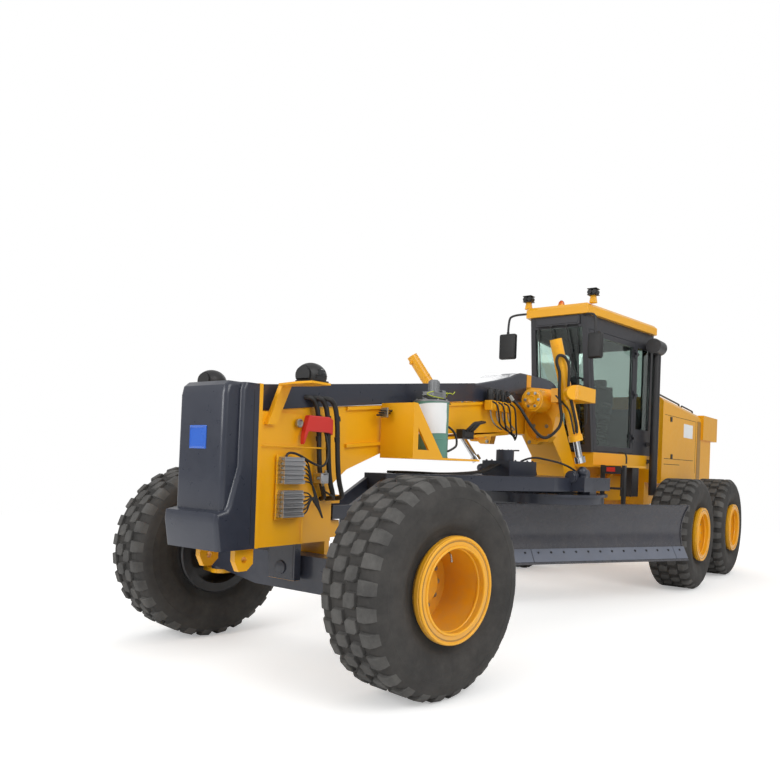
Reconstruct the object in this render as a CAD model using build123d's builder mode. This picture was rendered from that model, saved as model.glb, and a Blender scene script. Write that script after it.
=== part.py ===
"""Motor grader: a bridge-beam front frame with cab, hinged to a tandem-drive rear frame.

Millimetres. +X is forward, +Y is the machine's left, +Z is up. The tyres stand on Z = 0 and the
machine's middle plane is Y = 0. The front wheels are stored turned a little to the right, the
drawbar swung a little to the left, and the blade turned along the machine, as for travel.
"""

from build123d import *
import os
from math import atan2, cos, degrees, hypot, radians, sin, tan

os.makedirs("parts", exist_ok=True)

# ---------------------------------------------------------------- driving dimensions
GAP = 0.3            # between faces of neighbouring pieces
RUN_GAP = 0.05       # radial gap of a shaft in its bore

NOSE_REACH = 1180.0  # front of the nose cover ahead of the front axle
TAIL_REACH = 10970.0 # back of the tail box behind the front axle
FRONT_AXLE_X = (TAIL_REACH - NOSE_REACH) / 2
TANDEM_X = FRONT_AXLE_X - 7800.0
TANDEM_SPACING = 2050.0
HINGE_X = FRONT_AXLE_X - 6600.0

# wheels
TYRE_R = 808.5
TYRE_W = 600.0
TREAD_PITCHES = 28
LUG_H = 26.0
LUG_HALF = 60.0
BEAD_R = 334.0
BEAD_W = 450.0
FLANGE_R = 390.0
FLANGE_OUT = 312.0
RIM_WALL = 34.0
FRONT_DISC_AT = -95.0
REAR_DISC_AT = 170.0
DISC_T = 36.0
HUB_BORE_R = 62.0
TRACK = 2700.0
STEER_REST = -9.6
KINGPIN_Y = 1000.0
KINGPIN_R = 45.0
AXLE_Z = TYRE_R

# front frame
BEAM_HALF = 210.0
COVER_HALF = 228.0
BOX_HALF = 300.0
BULKHEAD_X = FRONT_AXLE_X + 800.0
BULKHEAD_T = 36.0
BOX_BOTTOM_Z = 1025.0
BOX_TOP_Z = 2262.0
NECK_TOP_Z = 1740.0
NECK_BOTTOM_Z = 1100.0

# drawbar, circle and blade
BALL_X = FRONT_AXLE_X - 330.0
BALL_Z = 1250.0
BALL_R = 60.0
BALL_H = 240.0
EAR_HALF = 90.0
EAR_GAP = 75.0
CHEEK_T = 45.0
CROSS_PIN_R = 35.0
CIRCLE_X = FRONT_AXLE_X - 4000.0
CIRCLE_Y = 350.0
CIRCLE_R = 820.0
CIRCLE_BORE_R = 640.0
CIRCLE_Z0 = 1285.0
CIRCLE_Z1 = 1400.0
DRAWBAR_Z0 = 1440.0
DRAWBAR_Z1 = 1600.0
DRAWBAR_HALF = 640.0
BLADE_HEADING = 60.0
BLADE_AHEAD = 420.0
BLADE_LEFT = 2095.0
BLADE_LENGTH = 4880.0
BLADE_Z0 = 540.0
BLADE_Z1 = 1275.0
BLADE_CURVE_R = 545.0
BLADE_T = 30.0
EDGE_H = 170.0

# lift cylinders, given for the left side
TRUNNION_X = FRONT_AXLE_X - 3448.0
TRUNNION_Y = 894.0
TRUNNION_Z = 2580.0
LIFT_BALL_BACK = 3400.0
LIFT_BALL_SIDE = 719.0
LIFT_BALL_Z = 1675.0
BARREL_R = 70.0
ROD_R = 38.0
BARREL_ABOVE = 640.0
BARREL_BELOW = 568.0
LIFT_LOW = -8.0        # degrees of drawbar travel that set the trunnion pin's direction
COLLAR_R = 92.0
LIFT_PIN_R = 45.0
STUD_R = 60.0
EYE_GAP = 48.0

# cab
CAB_TOP_X = FRONT_AXLE_X - 5130.0
CAB_LEAN = 270.0
CAB_REAR_X = FRONT_AXLE_X - 7250.0
CAB_FRONT_HALF = 420.0
CAB_FLARE = 7.5
CAB_Z0 = 1950.0
CAB_Z1 = 3870.0
CAB_WALL = 60.0
ROOF_T = 150.0
ROOF_OVER = 55.0
GLASS_T = 8.0
DOOR_GAP = 6.0
DOOR_FRAME = 75.0

# rear body
HOOD_FRONT_X = FRONT_AXLE_X - 7490.0
HOOD_REAR_X = FRONT_AXLE_X - 10640.0
HOOD_HALF = 820.0
HOOD_Z0 = 1580.0
HOOD_FRONT_Z1 = 2930.0
HOOD_REAR_Z1 = 2740.0
HOOD_WALL = 40.0
RAIL_HALF = 330.0
CASE_Y0 = 790.0
CASE_Y1 = 1000.0
CASE_PIN_R = 150.0


# ---------------------------------------------------------------- helpers
def finish(builder, name):
    """Label a finished piece and write it."""
    builder.part.label = name
    export_step(builder.part, f"parts/{name}.step")


def side_plate(points, y0, y1, mode=Mode.ADD):
    """A plate between two Y values from an outline of (x, z) points."""
    with BuildSketch(Plane(origin=(0, y1, 0), x_dir=(1, 0, 0), z_dir=(0, -1, 0))) as face:
        with BuildLine():
            Polyline(*points, close=True)
        make_face()
    extrude(face.sketch, amount=y1 - y0, mode=mode)


def flat_plate(points, z0, z1, mode=Mode.ADD, plane=Plane.XY):
    """A plate between two heights from an outline of (x, y) points on a plane."""
    with BuildSketch(plane.offset(z0)) as face:
        with BuildLine():
            Polyline(*points, close=True)
        make_face()
    extrude(face.sketch, amount=z1 - z0, mode=mode)


def block(x0, x1, y0, y1, z0, z1, mode=Mode.ADD):
    """A box between two corners."""
    with Locations(((x0 + x1) / 2, (y0 + y1) / 2, (z0 + z1) / 2)):
        Box(abs(x1 - x0), abs(y1 - y0), abs(z1 - z0), mode=mode)


def bar(start, end, radius, mode=Mode.ADD):
    """A round bar from one point to another."""
    run = Vector(*end) - Vector(*start)
    with BuildSketch(Plane(origin=start, z_dir=run)) as face:
        Circle(radius)
    extrude(face.sketch, amount=run.length, mode=mode)


def hose(points, radius, bend):
    """A round hose along straight runs joined by arcs."""
    with BuildLine() as route:
        FilletPolyline(*points, radius=bend)
    path = route.wires()[0]
    with BuildSketch(Plane(origin=path @ 0, z_dir=path % 0)) as face:
        Circle(radius)
    sweep(face.sketch, path=path)


def turned(x, y, angle):
    """A point turned about the origin by an angle in degrees."""
    c, s = cos(radians(angle)), sin(radians(angle))
    return (c * x - s * y, s * x + c * y)


# ---------------------------------------------------------------- wheels
def wheel_plane(centre, out):
    """Plane whose x runs out from the wheel's middle and whose y runs along its axle."""
    return Plane(origin=centre, x_dir=(0, 0, 1), z_dir=Vector(0, 0, 1).cross(Vector(*out)))


def tyre_facet(k, reach, along):
    """A point on facet k of a tyre, in the plane square to its axle."""
    turn = radians(360 * k / TREAD_PITCHES)
    return (reach * cos(turn) - along * sin(turn), reach * sin(turn) + along * cos(turn))


def ring_step(centre, out, first, last, mode=Mode.ADD):
    """A faceted length of a tyre between two stations, each its reach and its distance along the axle."""
    rings = []
    for reach, at in (first, last):
        station = Plane(origin=Vector(*centre) + Vector(*out) * at, x_dir=(0, 0, 1), z_dir=out)
        with BuildSketch(station, mode=Mode.PRIVATE) as ring:
            RegularPolygon(reach, TREAD_PITCHES, major_radius=False, rotation=180 / TREAD_PITCHES)
        rings.append(ring.sketch)
    loft(rings, ruled=True, mode=mode)


def make_tyre(name, centre, out):
    """Tyre: a closed faceted ring from the beads to the tread, with a lug across each facet."""
    half = TYRE_W / 2
    tread_half = half - 62
    root_r = TYRE_R - LUG_H
    facet_half = root_r * tan(radians(180 / TREAD_PITCHES))
    tread = []
    for k in range(TREAD_PITCHES):
        tread += [
            tyre_facet(k, root_r, -LUG_HALF), tyre_facet(k, TYRE_R, -LUG_HALF + 10),
            tyre_facet(k, TYRE_R, LUG_HALF - 10), tyre_facet(k, root_r, LUG_HALF), tyre_facet(k, root_r, facet_half),
        ]
    tread_start = Plane(origin=Vector(*centre) - Vector(*out) * tread_half, x_dir=(0, 0, 1), z_dir=out)
    with BuildPart() as tyre:
        with BuildSketch(tread_start):
            with BuildLine():
                Polyline(*tread, close=True)
            make_face()
        extrude(amount=2 * tread_half)
        for side in (1, -1):
            ring_step(centre, out, (root_r, side * tread_half), (root_r - 36, side * (half - 24)))
            ring_step(centre, out, (root_r - 36, side * (half - 24)), (root_r - 120, side * half))
            ring_step(
                centre, out, (FLANGE_R + 3, side * BEAD_W / 2), (FLANGE_R + 120, side * (half + 1)), Mode.SUBTRACT,
            )
        ring_step(centre, out, (BEAD_R + GAP, -half - 1), (BEAD_R + GAP, half + 1), Mode.SUBTRACT)
    finish(tyre, name)


def make_rim(name, centre, out, disc_at, hub_r, hub_out):
    """Steel rim: barrel with two flanges, a disc, and a hub with its bore."""
    barrel_r = BEAD_R - RIM_WALL
    flange_in = BEAD_W / 2 + 2
    with BuildPart() as rim:
        with BuildSketch(wheel_plane(centre, out)) as section:
            with BuildLine():
                Polyline(
                    (barrel_r, -FLANGE_OUT), (FLANGE_R - 12, -FLANGE_OUT), (FLANGE_R, -FLANGE_OUT + 14),
                    (FLANGE_R, -flange_in - 40), (FLANGE_R - 26, -flange_in), (BEAD_R, -flange_in),
                    (BEAD_R, flange_in), (FLANGE_R - 26, flange_in), (FLANGE_R, flange_in + 40),
                    (FLANGE_R, FLANGE_OUT - 14), (FLANGE_R - 12, FLANGE_OUT), (barrel_r, FLANGE_OUT), close=True,
                )
            make_face()
            with BuildLine():
                Polyline(
                    (HUB_BORE_R, disc_at - 70), (hub_r, disc_at - 70), (hub_r, disc_at - DISC_T / 2),
                    (barrel_r + 5, disc_at - DISC_T / 2), (barrel_r + 5, disc_at + DISC_T / 2),
                    (hub_r, disc_at + DISC_T / 2), (hub_r - 12, hub_out), (0, hub_out), (0, disc_at + 30),
                    (HUB_BORE_R, disc_at + 30), close=True,
                )
            make_face()
        revolve(axis=Axis(centre, out))
    finish(rim, name)


steer_x, steer_y = turned(0, TRACK / 2 - KINGPIN_Y, STEER_REST)
axle_dx, axle_dy = turned(0, 1, STEER_REST)
FRONT_WHEELS = {  # name: (centre, outward axle direction)
    "front_left": ((FRONT_AXLE_X + steer_x, KINGPIN_Y + steer_y, AXLE_Z), (axle_dx, axle_dy, 0)),
    "front_right": ((FRONT_AXLE_X - steer_x, -KINGPIN_Y - steer_y, AXLE_Z), (-axle_dx, -axle_dy, 0)),
}
REAR_WHEELS = {
    f"{row}_{side}": ((TANDEM_X + along * TANDEM_SPACING / 2, sign * TRACK / 2, AXLE_Z), (0, sign, 0))
    for row, along in (("middle", 1), ("rear", -1))
    for side, sign in (("left", 1), ("right", -1))
}
for wheel, (centre, out) in FRONT_WHEELS.items():
    make_tyre(f"tyre_{wheel}", centre, out)
    make_rim(f"rim_{wheel}", centre, out, FRONT_DISC_AT, 150, FRONT_DISC_AT + 95)
for wheel, (centre, out) in REAR_WHEELS.items():
    make_tyre(f"tyre_{wheel}", centre, out)
    make_rim(f"rim_{wheel}", centre, out, REAR_DISC_AT, 205, REAR_DISC_AT + 60)

# ---------------------------------------------------------------- front axle and steering
BOSS_R = 90.0
BOSS_HALF_H = 150.0
EAR_T = 36.0
PIVOT_R = 60.0
PIVOT_Z = 800.0
with BuildPart() as front_axle:
    for side in (1, -1):
        with Locations((FRONT_AXLE_X, side * KINGPIN_Y, AXLE_Z)):
            Cylinder(BOSS_R, 2 * BOSS_HALF_H)
    beam_points = [
        (-KINGPIN_Y, AXLE_Z - 110), (-420, 600), (420, 600), (KINGPIN_Y, AXLE_Z - 110),
        (KINGPIN_Y, AXLE_Z + 110), (300, 900), (-300, 900), (-KINGPIN_Y, AXLE_Z + 110),
    ]
    with BuildSketch(Plane.YZ.offset(FRONT_AXLE_X - 105)) as axle_face:
        with BuildLine():
            Polyline(*beam_points, close=True)
        make_face()
    extrude(amount=210)
    for side in (1, -1):
        with Locations((FRONT_AXLE_X, side * KINGPIN_Y, AXLE_Z)):
            Cylinder(KINGPIN_R + RUN_GAP, 4 * BOSS_HALF_H, mode=Mode.SUBTRACT)
    with Locations((FRONT_AXLE_X, 0, PIVOT_Z)):
        Cylinder(PIVOT_R + RUN_GAP, 600, rotation=(0, 90, 0), mode=Mode.SUBTRACT)
finish(front_axle, "front_axle")

TIE_BACK = 330.0
TIE_IN = 60.0
TIE_Z = AXLE_Z - BOSS_HALF_H - EAR_T
for side_name, side in (("left", 1), ("right", -1)):
    kingpin = (FRONT_AXLE_X, side * KINGPIN_Y)
    swung = Plane(origin=(*kingpin, 0), x_dir=(*turned(1, 0, STEER_REST), 0), z_dir=(0, 0, 1))
    centre, out = FRONT_WHEELS[f"front_{side_name}"]
    reach = TRACK / 2 - KINGPIN_Y + FRONT_DISC_AT
    with BuildPart() as knuckle:
        with BuildSketch(swung.offset(AXLE_Z - BOSS_HALF_H - EAR_T - GAP)) as pin_face:
            Circle(KINGPIN_R)
        extrude(amount=2 * BOSS_HALF_H + 2 * EAR_T + 2 * GAP)
        for low in (AXLE_Z - BOSS_HALF_H - EAR_T - GAP, AXLE_Z + BOSS_HALF_H + GAP):
            with BuildSketch(swung.offset(low)) as ear:
                with Locations((0, side * 60)):
                    Rectangle(170, 240)
                Circle(100)
            extrude(amount=EAR_T)
        with BuildSketch(swung.offset(AXLE_Z - BOSS_HALF_H - EAR_T - GAP)) as plate:
            with Locations((0, side * (BOSS_R + 55))):
                Rectangle(170, 70)
        extrude(amount=2 * BOSS_HALF_H + 2 * EAR_T + 2 * GAP)
        foot = swung.from_local_coords((0, side * (BOSS_R + 60), AXLE_Z))
        tip = swung.from_local_coords((0, side * (reach + 20), AXLE_Z))
        bar(tuple(foot), tuple(tip), HUB_BORE_R - RUN_GAP)
        with BuildSketch(swung.offset(TIE_Z - GAP)) as arm:
            with BuildLine():
                Polyline(
                    (60, -side * 60), (60, side * 60), (-TIE_BACK + 40, side * (40 - TIE_IN)),
                    (-TIE_BACK - 40, side * (40 - TIE_IN)), (-TIE_BACK - 40, -side * (40 + TIE_IN)), close=True,
                )
            make_face()
            with Locations((-TIE_BACK, -side * TIE_IN)):
                Circle(20 + RUN_GAP, mode=Mode.SUBTRACT)
        extrude(amount=EAR_T)
    finish(knuckle, f"knuckle_{side_name}")

tie_ends = []
for side in (1, -1):
    dx, dy = turned(-TIE_BACK, -side * TIE_IN, STEER_REST)
    tie_ends.append((FRONT_AXLE_X + dx, side * KINGPIN_Y + dy))
with BuildPart() as tie_rod:
    tie_z = TIE_Z - 32
    bar((*tie_ends[0], tie_z), (*tie_ends[1], tie_z), 26)
    for x, y in tie_ends:
        with Locations((x, y, tie_z)):
            Cylinder(44, 56)
    with Locations((*tie_ends[0], tie_z + 46)):
        Cylinder(20, 72)
finish(tie_rod, "tie_rod")

# ---------------------------------------------------------------- front frame
with BuildPart() as gooseneck:
    # box behind the bulkhead, from the side
    side_plate(
        [
            (BULKHEAD_X - BULKHEAD_T, BOX_BOTTOM_Z), (FRONT_AXLE_X + 190, BOX_BOTTOM_Z),
            (FRONT_AXLE_X + 190, 1270), (FRONT_AXLE_X - 340, 1630), (FRONT_AXLE_X - 1250, 1930),
            (FRONT_AXLE_X - 1250, 2280), (FRONT_AXLE_X + 120, 2140), (BULKHEAD_X - BULKHEAD_T, 2060),
        ],
        -BEAM_HALF, BEAM_HALF,
    )
    block(BULKHEAD_X - BULKHEAD_T, BULKHEAD_X, -BOX_HALF, BOX_HALF, BOX_BOTTOM_Z, BOX_TOP_Z)
    side_plate(
        [
            (BULKHEAD_X - BULKHEAD_T, BOX_BOTTOM_Z), (FRONT_AXLE_X + 260, BOX_BOTTOM_Z),
            (FRONT_AXLE_X + 260, 1290), (FRONT_AXLE_X + 320, 1330), (FRONT_AXLE_X + 320, 2060),
            (BULKHEAD_X - BULKHEAD_T, 2060),
        ],
        -BOX_HALF + 20, BOX_HALF - 20,
    )
    # beam and the neck that drops to the frame hinge
    side_plate(
        [
            (FRONT_AXLE_X - 250, 1845), (FRONT_AXLE_X - 1900, 2025), (FRONT_AXLE_X - 3000, 2100),
            (FRONT_AXLE_X - 4550, 2140), (FRONT_AXLE_X - 5000, 1760), (FRONT_AXLE_X - 5300, NECK_BOTTOM_Z),
            (HINGE_X + 330, NECK_BOTTOM_Z), (HINGE_X + 330, NECK_TOP_Z), (FRONT_AXLE_X - 5420, NECK_TOP_Z),
            (FRONT_AXLE_X - 4780, 2580), (FRONT_AXLE_X - 4000, 2540), (FRONT_AXLE_X - 2800, 2437),
            (FRONT_AXLE_X - 250, 2172),
        ],
        -BEAM_HALF, BEAM_HALF,
    )
    # flanges along the beam
    for low, rise in ((1845, 264), (2172, 317)):
        side_plate(
            [
                (FRONT_AXLE_X - 300, low + 5), (FRONT_AXLE_X - 3300, low + 5 + rise),
                (FRONT_AXLE_X - 3300, low - 25 + rise), (FRONT_AXLE_X - 300, low - 25),
            ],
            -BEAM_HALF - 25, BEAM_HALF + 25,
        )
    # hinge ears, above and below the rear frame's tongue
    for low in (NECK_BOTTOM_Z, NECK_TOP_Z - 120):
        flat_plate(
            [(HINGE_X + 400, -BEAM_HALF), (HINGE_X + 400, BEAM_HALF), (HINGE_X - 60, 150), (HINGE_X - 130, 80),
             (HINGE_X - 130, -80), (HINGE_X - 60, -150)],
            low, low + 120,
        )
    with Locations((HINGE_X, 0, (NECK_BOTTOM_Z + NECK_TOP_Z) / 2)):
        Cylinder(70, NECK_TOP_Z - NECK_BOTTOM_Z)
    # front axle pivot: two hangers and the pin
    for along in (150, -210):
        block(FRONT_AXLE_X + along, FRONT_AXLE_X + along + 60, -150, 150, PIVOT_Z - 100, BOX_BOTTOM_Z + 10)
    block(BALL_X + 110, FRONT_AXLE_X + 210, -150, 150, BOX_BOTTOM_Z - 20, 1500)
    # ears above and below the drawbar's ball
    block(BALL_X - 70, BALL_X + 120, -EAR_HALF, EAR_HALF, BOX_BOTTOM_Z, BALL_Z - EAR_GAP)
    block(BALL_X - 70, BALL_X + 120, -EAR_HALF, EAR_HALF, BALL_Z + EAR_GAP, BALL_Z + 150)
    with Locations((BALL_X, 0, BALL_Z)):
        Cylinder(BALL_R + RUN_GAP, BALL_H + 2 * GAP, mode=Mode.SUBTRACT)
    with Locations((FRONT_AXLE_X, 0, PIVOT_Z)):
        Cylinder(PIVOT_R, 400, rotation=(0, 90, 0))
    # tow lugs below the bulkhead
    for y in (200, -200):
        side_plate(
            [
                (BULKHEAD_X + 120, 1040), (BULKHEAD_X - 60, 1040), (BULKHEAD_X - 60, 900), (BULKHEAD_X, 850),
                (BULKHEAD_X + 80, 850), (BULKHEAD_X + 120, 930),
            ],
            y - 25, y + 25,
        )
    with Locations((BULKHEAD_X + 30, 0, 935)):
        Cylinder(25, 800, rotation=(90, 0, 0), mode=Mode.SUBTRACT)
finish(gooseneck, "gooseneck")

with BuildPart() as beam_cover:
    side_plate(
        [
            (BULKHEAD_X - BULKHEAD_T - GAP, 2062 + GAP), (FRONT_AXLE_X + 120, 2142 + GAP),
            (FRONT_AXLE_X - 250, 2180 + GAP), (FRONT_AXLE_X - 2800, 2456 + GAP),
            (FRONT_AXLE_X - 4000, 2560 + GAP), (FRONT_AXLE_X - 4780, 2590 + GAP), (FRONT_AXLE_X - 4700, 2680),
            (FRONT_AXLE_X - 4290, 2815), (FRONT_AXLE_X - 3480, 2795), (FRONT_AXLE_X - 2680, 2620),
            (FRONT_AXLE_X - 2460, 2618), (FRONT_AXLE_X + 341, 2306), (BULKHEAD_X - BULKHEAD_T - GAP, 2262),
        ],
        -COVER_HALF, COVER_HALF,
    )
finish(beam_cover, "beam_cover")

# ---------------------------------------------------------------- nose cover
COWL_BACK_X = BULKHEAD_X + GAP
NOSE_X = FRONT_AXLE_X + NOSE_REACH
with BuildPart() as cowl:
    # lower skirt and the strip against the bulkhead
    side_plate(
        [
            (COWL_BACK_X, BOX_BOTTOM_Z), (NOSE_X - 45, BOX_BOTTOM_Z), (NOSE_X, BOX_BOTTOM_Z + 55),
            (NOSE_X - 6, 1232), (NOSE_X - 75, 1262), (COWL_BACK_X + 130, 1560), (COWL_BACK_X + 130, BOX_TOP_Z),
            (COWL_BACK_X, BOX_TOP_Z),
        ],
        -BOX_HALF, BOX_HALF,
    )
    # narrower upper body
    side_plate(
        [
            (COWL_BACK_X, 1100), (NOSE_X - 80, 1100), (NOSE_X - 70, 1262), (NOSE_X - 96, 2170),
            (NOSE_X - 150, BOX_TOP_Z - 12), (COWL_BACK_X, BOX_TOP_Z - 12),
        ],
        -BOX_HALF + 14, BOX_HALF - 14,
    )
    # corners drawn in towards the front
    flat_plate(
        [
            (COWL_BACK_X, -BOX_HALF), (COWL_BACK_X + 130, -BOX_HALF), (NOSE_X - 70, -270), (NOSE_X, -215),
            (NOSE_X, 215), (NOSE_X - 70, 270), (COWL_BACK_X + 130, BOX_HALF), (COWL_BACK_X, BOX_HALF),
        ],
        BOX_BOTTOM_Z - 10, BOX_TOP_Z + 10, mode=Mode.INTERSECT,
    )
    # space for the tow lugs
    block(COWL_BACK_X - 5, COWL_BACK_X + 135, -240, 240, BOX_BOTTOM_Z - 5, BOX_BOTTOM_Z + 20, mode=Mode.SUBTRACT)
finish(cowl, "cowl")

# ---------------------------------------------------------------- lift linkage
DRAW_ANGLE = degrees(atan2(-CIRCLE_Y, BALL_X - CIRCLE_X))
DRAW_LENGTH = hypot(CIRCLE_Y, BALL_X - CIRCLE_X)
DRAW = Plane(
    origin=(BALL_X, 0, 0), x_dir=(cos(radians(DRAW_ANGLE)), sin(radians(DRAW_ANGLE)), 0), z_dir=(0, 0, 1),
)


def lift_stud(side, lift=0.0):
    """Centre of a ball stud on the drawbar when the drawbar's rear is raised by an angle."""
    down, back = turned(LIFT_BALL_Z - BALL_Z, LIFT_BALL_BACK, -lift)
    return DRAW.from_local_coords((-back, side * LIFT_BALL_SIDE, BALL_Z + down))


def lift_top(side):
    """Centre of a lift cylinder's trunnion."""
    return Vector(TRUNNION_X, side * TRUNNION_Y, TRUNNION_Z)


def lift_pin(side):
    """Points along the trunnion pin, square to the plane the cylinder swings in, outward positive."""
    top = lift_top(side)
    square = (lift_stud(side) - top).cross(lift_stud(side, LIFT_LOW) - top).normalized()
    outward = square * (1 if square.Y * side > 0 else -1)
    return lambda distance: tuple(top + outward * distance)


# ---------------------------------------------------------------- saddle on the beam
SADDLE_X0 = FRONT_AXLE_X - 3860.0
SADDLE_X1 = FRONT_AXLE_X - 3740.0
ARM_FACE_X = FRONT_AXLE_X - 3585.0
with BuildPart() as saddle:
    with BuildSketch(Plane.YZ.offset(SADDLE_X0)) as saddle_face:
        with BuildLine():
            Polyline(
                (-760, 2640), (-790, 2560), (-740, 2460), (-640, 2330), (-600, 2090), (-545, 2022), (-440, 2022),
                (-400, 1990), (-260, 1990), (-235, 2100), (235, 2100), (260, 1990), (400, 1990), (440, 2022),
                (545, 2022), (600, 2090), (640, 2330), (740, 2460),
                (790, 2560), (760, 2640), (300, 2700), (COVER_HALF + 10, 2700), (COVER_HALF + 10, 2860),
                (-COVER_HALF - 10, 2860), (-COVER_HALF - 10, 2700), (-300, 2700), close=True,
            )
        make_face()
        for side in (1, -1):
            with Locations((side * 423, 2215)):
                Circle(180, mode=Mode.SUBTRACT)
    extrude(amount=SADDLE_X1 - SADDLE_X0)
    # the beam passes through
    block(SADDLE_X0 - 5, SADDLE_X1 + 5, -COVER_HALF - GAP, COVER_HALF + GAP, 2080, 2830, mode=Mode.SUBTRACT)
    for side in (1, -1):
        # back wall of the round opening
        with Locations((SADDLE_X0 + 15, side * 423, 2215)):
            Cylinder(185, 30, rotation=(0, 90, 0))
        # round pin housing that faces forward
        with Locations((SADDLE_X1 + 120, side * 440, 2520)):
            Cylinder(142, 260, rotation=(0, 90, 0))
        # arm that reaches out behind the lift cylinder
        block(SADDLE_X0, ARM_FACE_X, side * 640, side * 1085, TRUNNION_Z - 85, TRUNNION_Z + 80)
    # cheek ahead of the left arm, out beyond the cylinder
    block(ARM_FACE_X - 5, FRONT_AXLE_X - 3330, 1010, 1085, TRUNNION_Z - 85, TRUNNION_Z + 80)
    for side in (1, -1):
        # boss with the bore the cylinder's pin turns in
        pin = lift_pin(side)
        bar(pin(COLLAR_R + 13), pin(COLLAR_R + 103), 80)
        bar(pin(0), pin(COLLAR_R + 90), LIFT_PIN_R + RUN_GAP, Mode.SUBTRACT)
finish(saddle, "saddle")

# ---------------------------------------------------------------- small things on the front frame
LAMP_X = FRONT_AXLE_X + 540.0
LAMP_Y = 570.0
LAMP_Z = 2285.0
BARREL_X = FRONT_AXLE_X - 1350.0
GREASE_R = 170.0
GREASE_Y = BEAM_HALF + 25 + GREASE_R + 6
TRAY_Z = 1765.0
TRAY_Y = 605.0
with BuildPart() as front_brackets:
    for side in (1, -1):
        # arm up to the headlamp plate
        inner, outer = sorted((side * (BOX_HALF - 19.7), side * (BOX_HALF + 24)))
        side_plate(
            [
                (FRONT_AXLE_X + 640, 1960), (FRONT_AXLE_X + 730, 1960), (FRONT_AXLE_X + 590, LAMP_Z - 15),
                (FRONT_AXLE_X + 490, LAMP_Z - 15),
            ],
            inner, outer,
        )
        flat_plate(
            [
                (LAMP_X - 50, side * (BOX_HALF - 19.7)), (LAMP_X + 50, side * (BOX_HALF - 19.7)),
                (LAMP_X + 105, side * (LAMP_Y - 60)), (LAMP_X + 105, side * (LAMP_Y + 110)),
                (LAMP_X - 105, side * (LAMP_Y + 110)), (LAMP_X - 105, side * (LAMP_Y - 60)),
            ],
            LAMP_Z - 16, LAMP_Z,
        )
    # tray, back plate and gusset of the grease pump, left side
    block(FRONT_AXLE_X - 1980, FRONT_AXLE_X - 780, BEAM_HALF + 25 + GAP, TRAY_Y, TRAY_Z - 20, TRAY_Z)
    block(FRONT_AXLE_X - 800, FRONT_AXLE_X - 780, BEAM_HALF + 25 + GAP, TRAY_Y, TRAY_Z - 20, 2250)
    side_plate(
        [
            (FRONT_AXLE_X - 780, 2250), (FRONT_AXLE_X - 840, 2250), (FRONT_AXLE_X - 1280, TRAY_Z),
            (FRONT_AXLE_X - 1280, TRAY_Z - 20), (FRONT_AXLE_X - 780, TRAY_Z - 20),
        ],
        TRAY_Y - 20, TRAY_Y,
    )
    side_plate(
        [(FRONT_AXLE_X - 860, 2030), (FRONT_AXLE_X - 860, 1830), (FRONT_AXLE_X - 1040, 1830)],
        TRAY_Y - 30, TRAY_Y + 10, mode=Mode.SUBTRACT,
    )
finish(front_brackets, "front_brackets")

with BuildPart() as headlamps:
    for side in (1, -1):
        # foot and a round body that faces forward
        block(LAMP_X - 70, LAMP_X + 70, side * (LAMP_Y - 60), side * (LAMP_Y + 60), LAMP_Z + GAP, LAMP_Z + 25)
        with Locations((LAMP_X, side * LAMP_Y, LAMP_Z + 78)):
            Cylinder(72, 170, rotation=(0, 90, 0))
finish(headlamps, "headlamps")

with BuildPart() as grease_barrel:
    with Locations((BARREL_X, GREASE_Y, TRAY_Z + GAP + 270)):
        Cylinder(GREASE_R, 540)
finish(grease_barrel, "grease_barrel")

with BuildPart() as hydraulic_blocks:
    # two ribbed distribution blocks on the front box
    for low in (1510, 1250):
        block(FRONT_AXLE_X + 360, FRONT_AXLE_X + 590, BOX_HALF - 20 + GAP, BOX_HALF + 80, low, low + 210)
    block(FRONT_AXLE_X + 20, FRONT_AXLE_X + 120, BEAM_HALF + GAP, BEAM_HALF + 90, 1510, 1600)
    # pump head on the grease barrel
    block(BARREL_X - 190, BARREL_X + 60, GREASE_Y - 90, GREASE_Y + 60, TRAY_Z + 540 + 2 * GAP, 2400)
    block(BARREL_X - 120, BARREL_X - 20, GREASE_Y - 50, GREASE_Y + 50, 2395, 2530)
    # valve bank on the beam ahead of the saddle
    for k in range(4):
        block(FRONT_AXLE_X - 2760 - 140 * k, FRONT_AXLE_X - 2640 - 140 * k, BEAM_HALF + 25 + GAP, COVER_HALF + 130, 2330, 2600)
finish(hydraulic_blocks, "hydraulic_blocks")

with BuildPart() as front_hoses:
    # three that arch from the beam cover down to the hanger
    for k in range(3):
        x = FRONT_AXLE_X + 250 - 30 * k
        y = BEAM_HALF + 60 + 42 * k
        hose(
            [
                (x, COVER_HALF + GAP, 2215), (x, y, 2215), (x - 200, y, 2080), (x - 240, y, 1700),
                (x - 300, y, 1380), (x - 300, 150 + GAP, 1380),
            ],
            19, 38,
        )
finish(front_hoses, "front_hoses")

# ---------------------------------------------------------------- cab
CAB_FLARE_SLOPE = sin(radians(CAB_FLARE)) / cos(radians(CAB_FLARE))
CAB_BOTTOM_X = CAB_TOP_X - CAB_LEAN


def cab_half(x, inset=0.0):
    """Half width of the cab at a station, less an inset square to its side wall."""
    return CAB_FRONT_HALF + (CAB_TOP_X - x) * CAB_FLARE_SLOPE - inset / cos(radians(CAB_FLARE))


def cab_prism(z0, z1, inset):
    """The cab's closed form between two heights, inset from its walls."""
    rear = CAB_REAR_X + inset
    front = CAB_TOP_X + 40
    flat_plate(
        [(front, -cab_half(front, inset)), (front, cab_half(front, inset)), (rear, cab_half(rear, inset)),
         (rear, -cab_half(rear, inset))],
        z0, z1,
    )


def front_x(z, inset=0.0):
    """Station of the leaning windscreen plane at a height."""
    return CAB_TOP_X - CAB_LEAN * (CAB_Z1 - z) / (CAB_Z1 - CAB_Z0) - inset


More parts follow.
